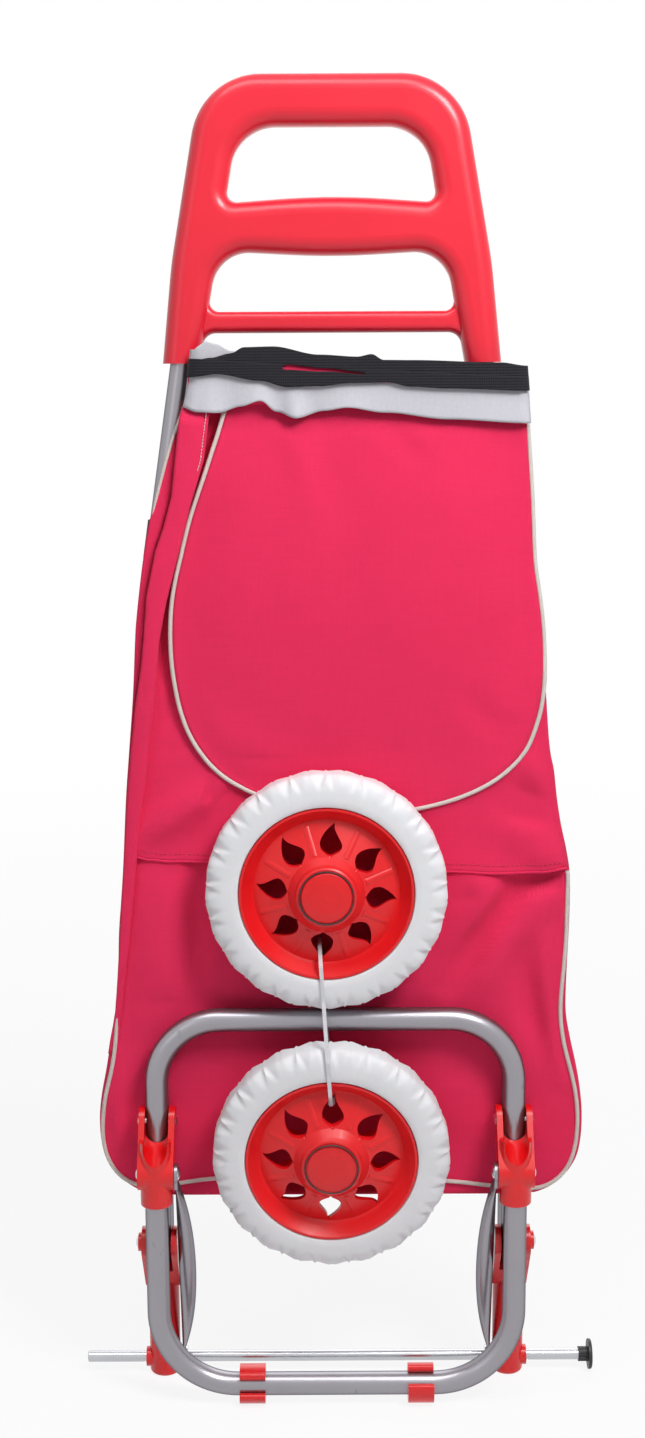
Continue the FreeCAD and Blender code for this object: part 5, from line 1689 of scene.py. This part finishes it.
    def _loop(self, name: str, centre: Vector, side: float) -> bpy.types.Object:
        """One webbing loop behind a tube, its ends lying on the bag's back.

        Args:
            name: the piece's name.
            centre: the tube's middle, at the loop's height.
            side: -1 for the left tube, 1 for the right.

        Returns:
            The loop.
        """
        radius = self.strap_bend
        lean = -side * 0.15 if centre.z > 560 * MM else 0.0
        reach = self.body_back - centre.y
        section: list[Point] = [(-side * 36 * MM, reach + 0.6 * MM),
                                (-side * 14 * MM, reach + 0.6 * MM)]
        for i in range(25):
            turn = math.pi * (0.55 + 0.9 * i / 24)
            section.append((-side * radius * math.cos(turn), -radius * math.sin(turn)))
        section += [(-side * 26 * MM, reach + 2.6 * MM), (-side * 38 * MM, reach + 2.1 * MM)]
        line = eased(resampled([Vector((x, y, 0)) for x, y in section], 1.2 * MM), 3)
        rows = 10
        points: list[Vector] = []
        for r in range(rows + 1):
            up = 2 * self.strap_half * (r / rows - 0.5)
            for spot in line:
                points.append(centre + Vector((spot.x + lean * up, spot.y, up)))
        return cloth_sheet(name, points, grid_faces(rows + 1, len(line)), self.finishes.webbing,
                           1.1 * MM)


# ------------------------------------------------------------------ studio
@dataclass
class Studio:
    """Pale floor, soft lamps and the camera."""

    image_height: int = 1438
    focal_pixels: float = 1950.0
    distance: float = 1.315
    height: float = 0.712
    pitch: float = 10.0
    roll: float = -0.3
    aside: float = -0.0101

    def build(self) -> None:
        """Set the stage."""
        self.world()
        self.floor()
        self.lamps()
        self.camera()
        bpy.context.scene.view_settings.view_transform = "Standard"

    def camera(self) -> None:
        """The camera, level with the bag's upper part and looking a little down."""
        data = bpy.data.cameras.new("camera")
        data.sensor_fit = "VERTICAL"
        data.sensor_height = 36.0
        data.lens = data.sensor_height * self.focal_pixels / self.image_height
        camera = bpy.data.objects.new("camera", data)
        bpy.context.scene.collection.objects.link(camera)
        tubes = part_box("main_tube_right")
        place = Vector((self.aside, (tubes[0].y + tubes[1].y) / 2 - self.distance, self.height))
        look = Vector((0, math.cos(math.radians(self.pitch)), -math.sin(math.radians(self.pitch))))
        turn = look.to_track_quat("-Z", "Y").to_matrix().to_4x4()
        camera.matrix_world = (Matrix.Translation(place) @ turn
                               @ Matrix.Rotation(math.radians(self.roll), 4, "Z"))
        bpy.context.scene.camera = camera

    def world(self) -> None:
        """Even light, with a white background for the camera and in reflections."""
        world = bpy.data.worlds.new("studio")
        bpy.context.scene.world = world
        world.use_nodes = True
        tree = world.node_tree
        tree.nodes.clear()
        soft = tree.nodes.new("ShaderNodeBackground")
        soft.inputs["Color"].default_value = (0.94, 0.95, 1.0, 1.0)
        soft.inputs["Strength"].default_value = 0.15
        white = tree.nodes.new("ShaderNodeBackground")
        white.inputs["Color"].default_value = (1.0, 1.0, 1.0, 1.0)
        mix = tree.nodes.new("ShaderNodeMixShader")
        out = tree.nodes.new("ShaderNodeOutputWorld")
        tree.links.new(self._seen_directly(tree), mix.inputs[0])
        tree.links.new(soft.outputs[0], mix.inputs[1])
        tree.links.new(white.outputs[0], mix.inputs[2])
        tree.links.new(mix.outputs[0], out.inputs["Surface"])

    @staticmethod
    def _seen_directly(tree: bpy.types.NodeTree) -> bpy.types.NodeSocket:
        """1 for what the camera sees straight on, in a reflection or through glass.

        Args:
            tree: the world's or a material's node tree.

        Returns:
            The socket.
        """
        path = tree.nodes.new("ShaderNodeLightPath")
        seen = path.outputs["Is Camera Ray"]
        for other in ("Is Glossy Ray", "Is Transmission Ray"):
            either = tree.nodes.new("ShaderNodeMath")
            either.operation = "MAXIMUM"
            tree.links.new(seen, either.inputs[0])
            tree.links.new(path.outputs[other], either.inputs[1])
            seen = either.outputs[0]
        return seen

    def floor(self) -> None:
        """A wide pale floor that keeps a soft shadow."""
        mesh = bpy.data.meshes.new("floor")
        reach = 6.0
        mesh.from_pydata([(-reach, -reach, 0), (reach, -reach, 0), (reach, reach, 0),
                          (-reach, reach, 0)], [], [(0, 1, 2, 3)])
        plain, fade_from, fade_over = 0.88, 0.6, 1.6
        g = Graph("floor_paper")
        paper = g.blend((0.88, 0.88, 0.89), (0.92, 0.92, 0.92), g.noise(3, 2))
        g.finish(Base_Color=paper, Roughness=0.9)
        glow = g.node("ShaderNodeEmission", {}, {"Color": (1.0, 1.0, 1.0), "Strength": 1.0})
        seen = Wire(g, self._seen_directly(g.tree))
        far = g.node("ShaderNodeVectorMath", {"operation": "LENGTH"}, {0: g.place()}, 1)
        share = plain + (1 - plain) * ((far - fade_from) / fade_over).clamped()
        mixed = g.node("ShaderNodeMixShader", {},
                       {0: share * seen, 1: Wire(g, g.shader.outputs[0]), 2: glow})
        g.tree.links.new(mixed.socket, g.tree.nodes["Material Output"].inputs["Surface"])
        mesh.materials.append(g.material)
        floor = bpy.data.objects.new("floor", mesh)
        bpy.context.scene.collection.objects.link(floor)

    def lamps(self) -> None:
        """A high key at the right, a weak fill at the left, one overhead and one behind."""
        self._lamp("key", (0.56, -0.76, 1.40), (0, 0, 0.68), 0.42, 0.42, 13.0)
        self._lamp("fill", (-1.4, -1.5, 1.2), (0, 0, 0.75), 0.8, 1.4, 2.4)
        self._lamp("top", (-0.2, -0.6, 1.9), (0, 0.0, 0.75), 1.2, 0.5, 9.0)
        self._lamp("back", (0.3, 1.8, 1.4), (0, 0, 0.5), 1.5, 1.5, 12.0)

    @staticmethod
    def _lamp(name: str, place: Sequence[float], aim: Sequence[float], wide: float, high: float,
              power: float) -> None:
        """Add one soft box aimed at a point.

        Args:
            name: the lamp's name.
            place: where it stands.
            aim: the point that it faces.
            wide: its width.
            high: its height.
            power: its power, in watts.
        """
        data = bpy.data.lights.new(name, "AREA")
        data.shape = "RECTANGLE"
        data.size = wide
        data.size_y = high
        data.energy = power
        lamp = bpy.data.objects.new(name, data)
        lamp.location = place
        heading = Vector(aim) - Vector(place)
        lamp.rotation_euler = heading.to_track_quat("-Z", "Y").to_euler()
        bpy.context.scene.collection.objects.link(lamp)


def main() -> None:
    """Build the studio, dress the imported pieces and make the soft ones."""
    logging.basicConfig(level=logging.INFO, format="%(name)s: %(message)s")
    Studio().build()
    finishes = Finishes.build()
    Hardware(finishes).dress()
    Tyres(finishes).build()
    Bag(finishes).build()


if __name__ == "__main__":
    main()
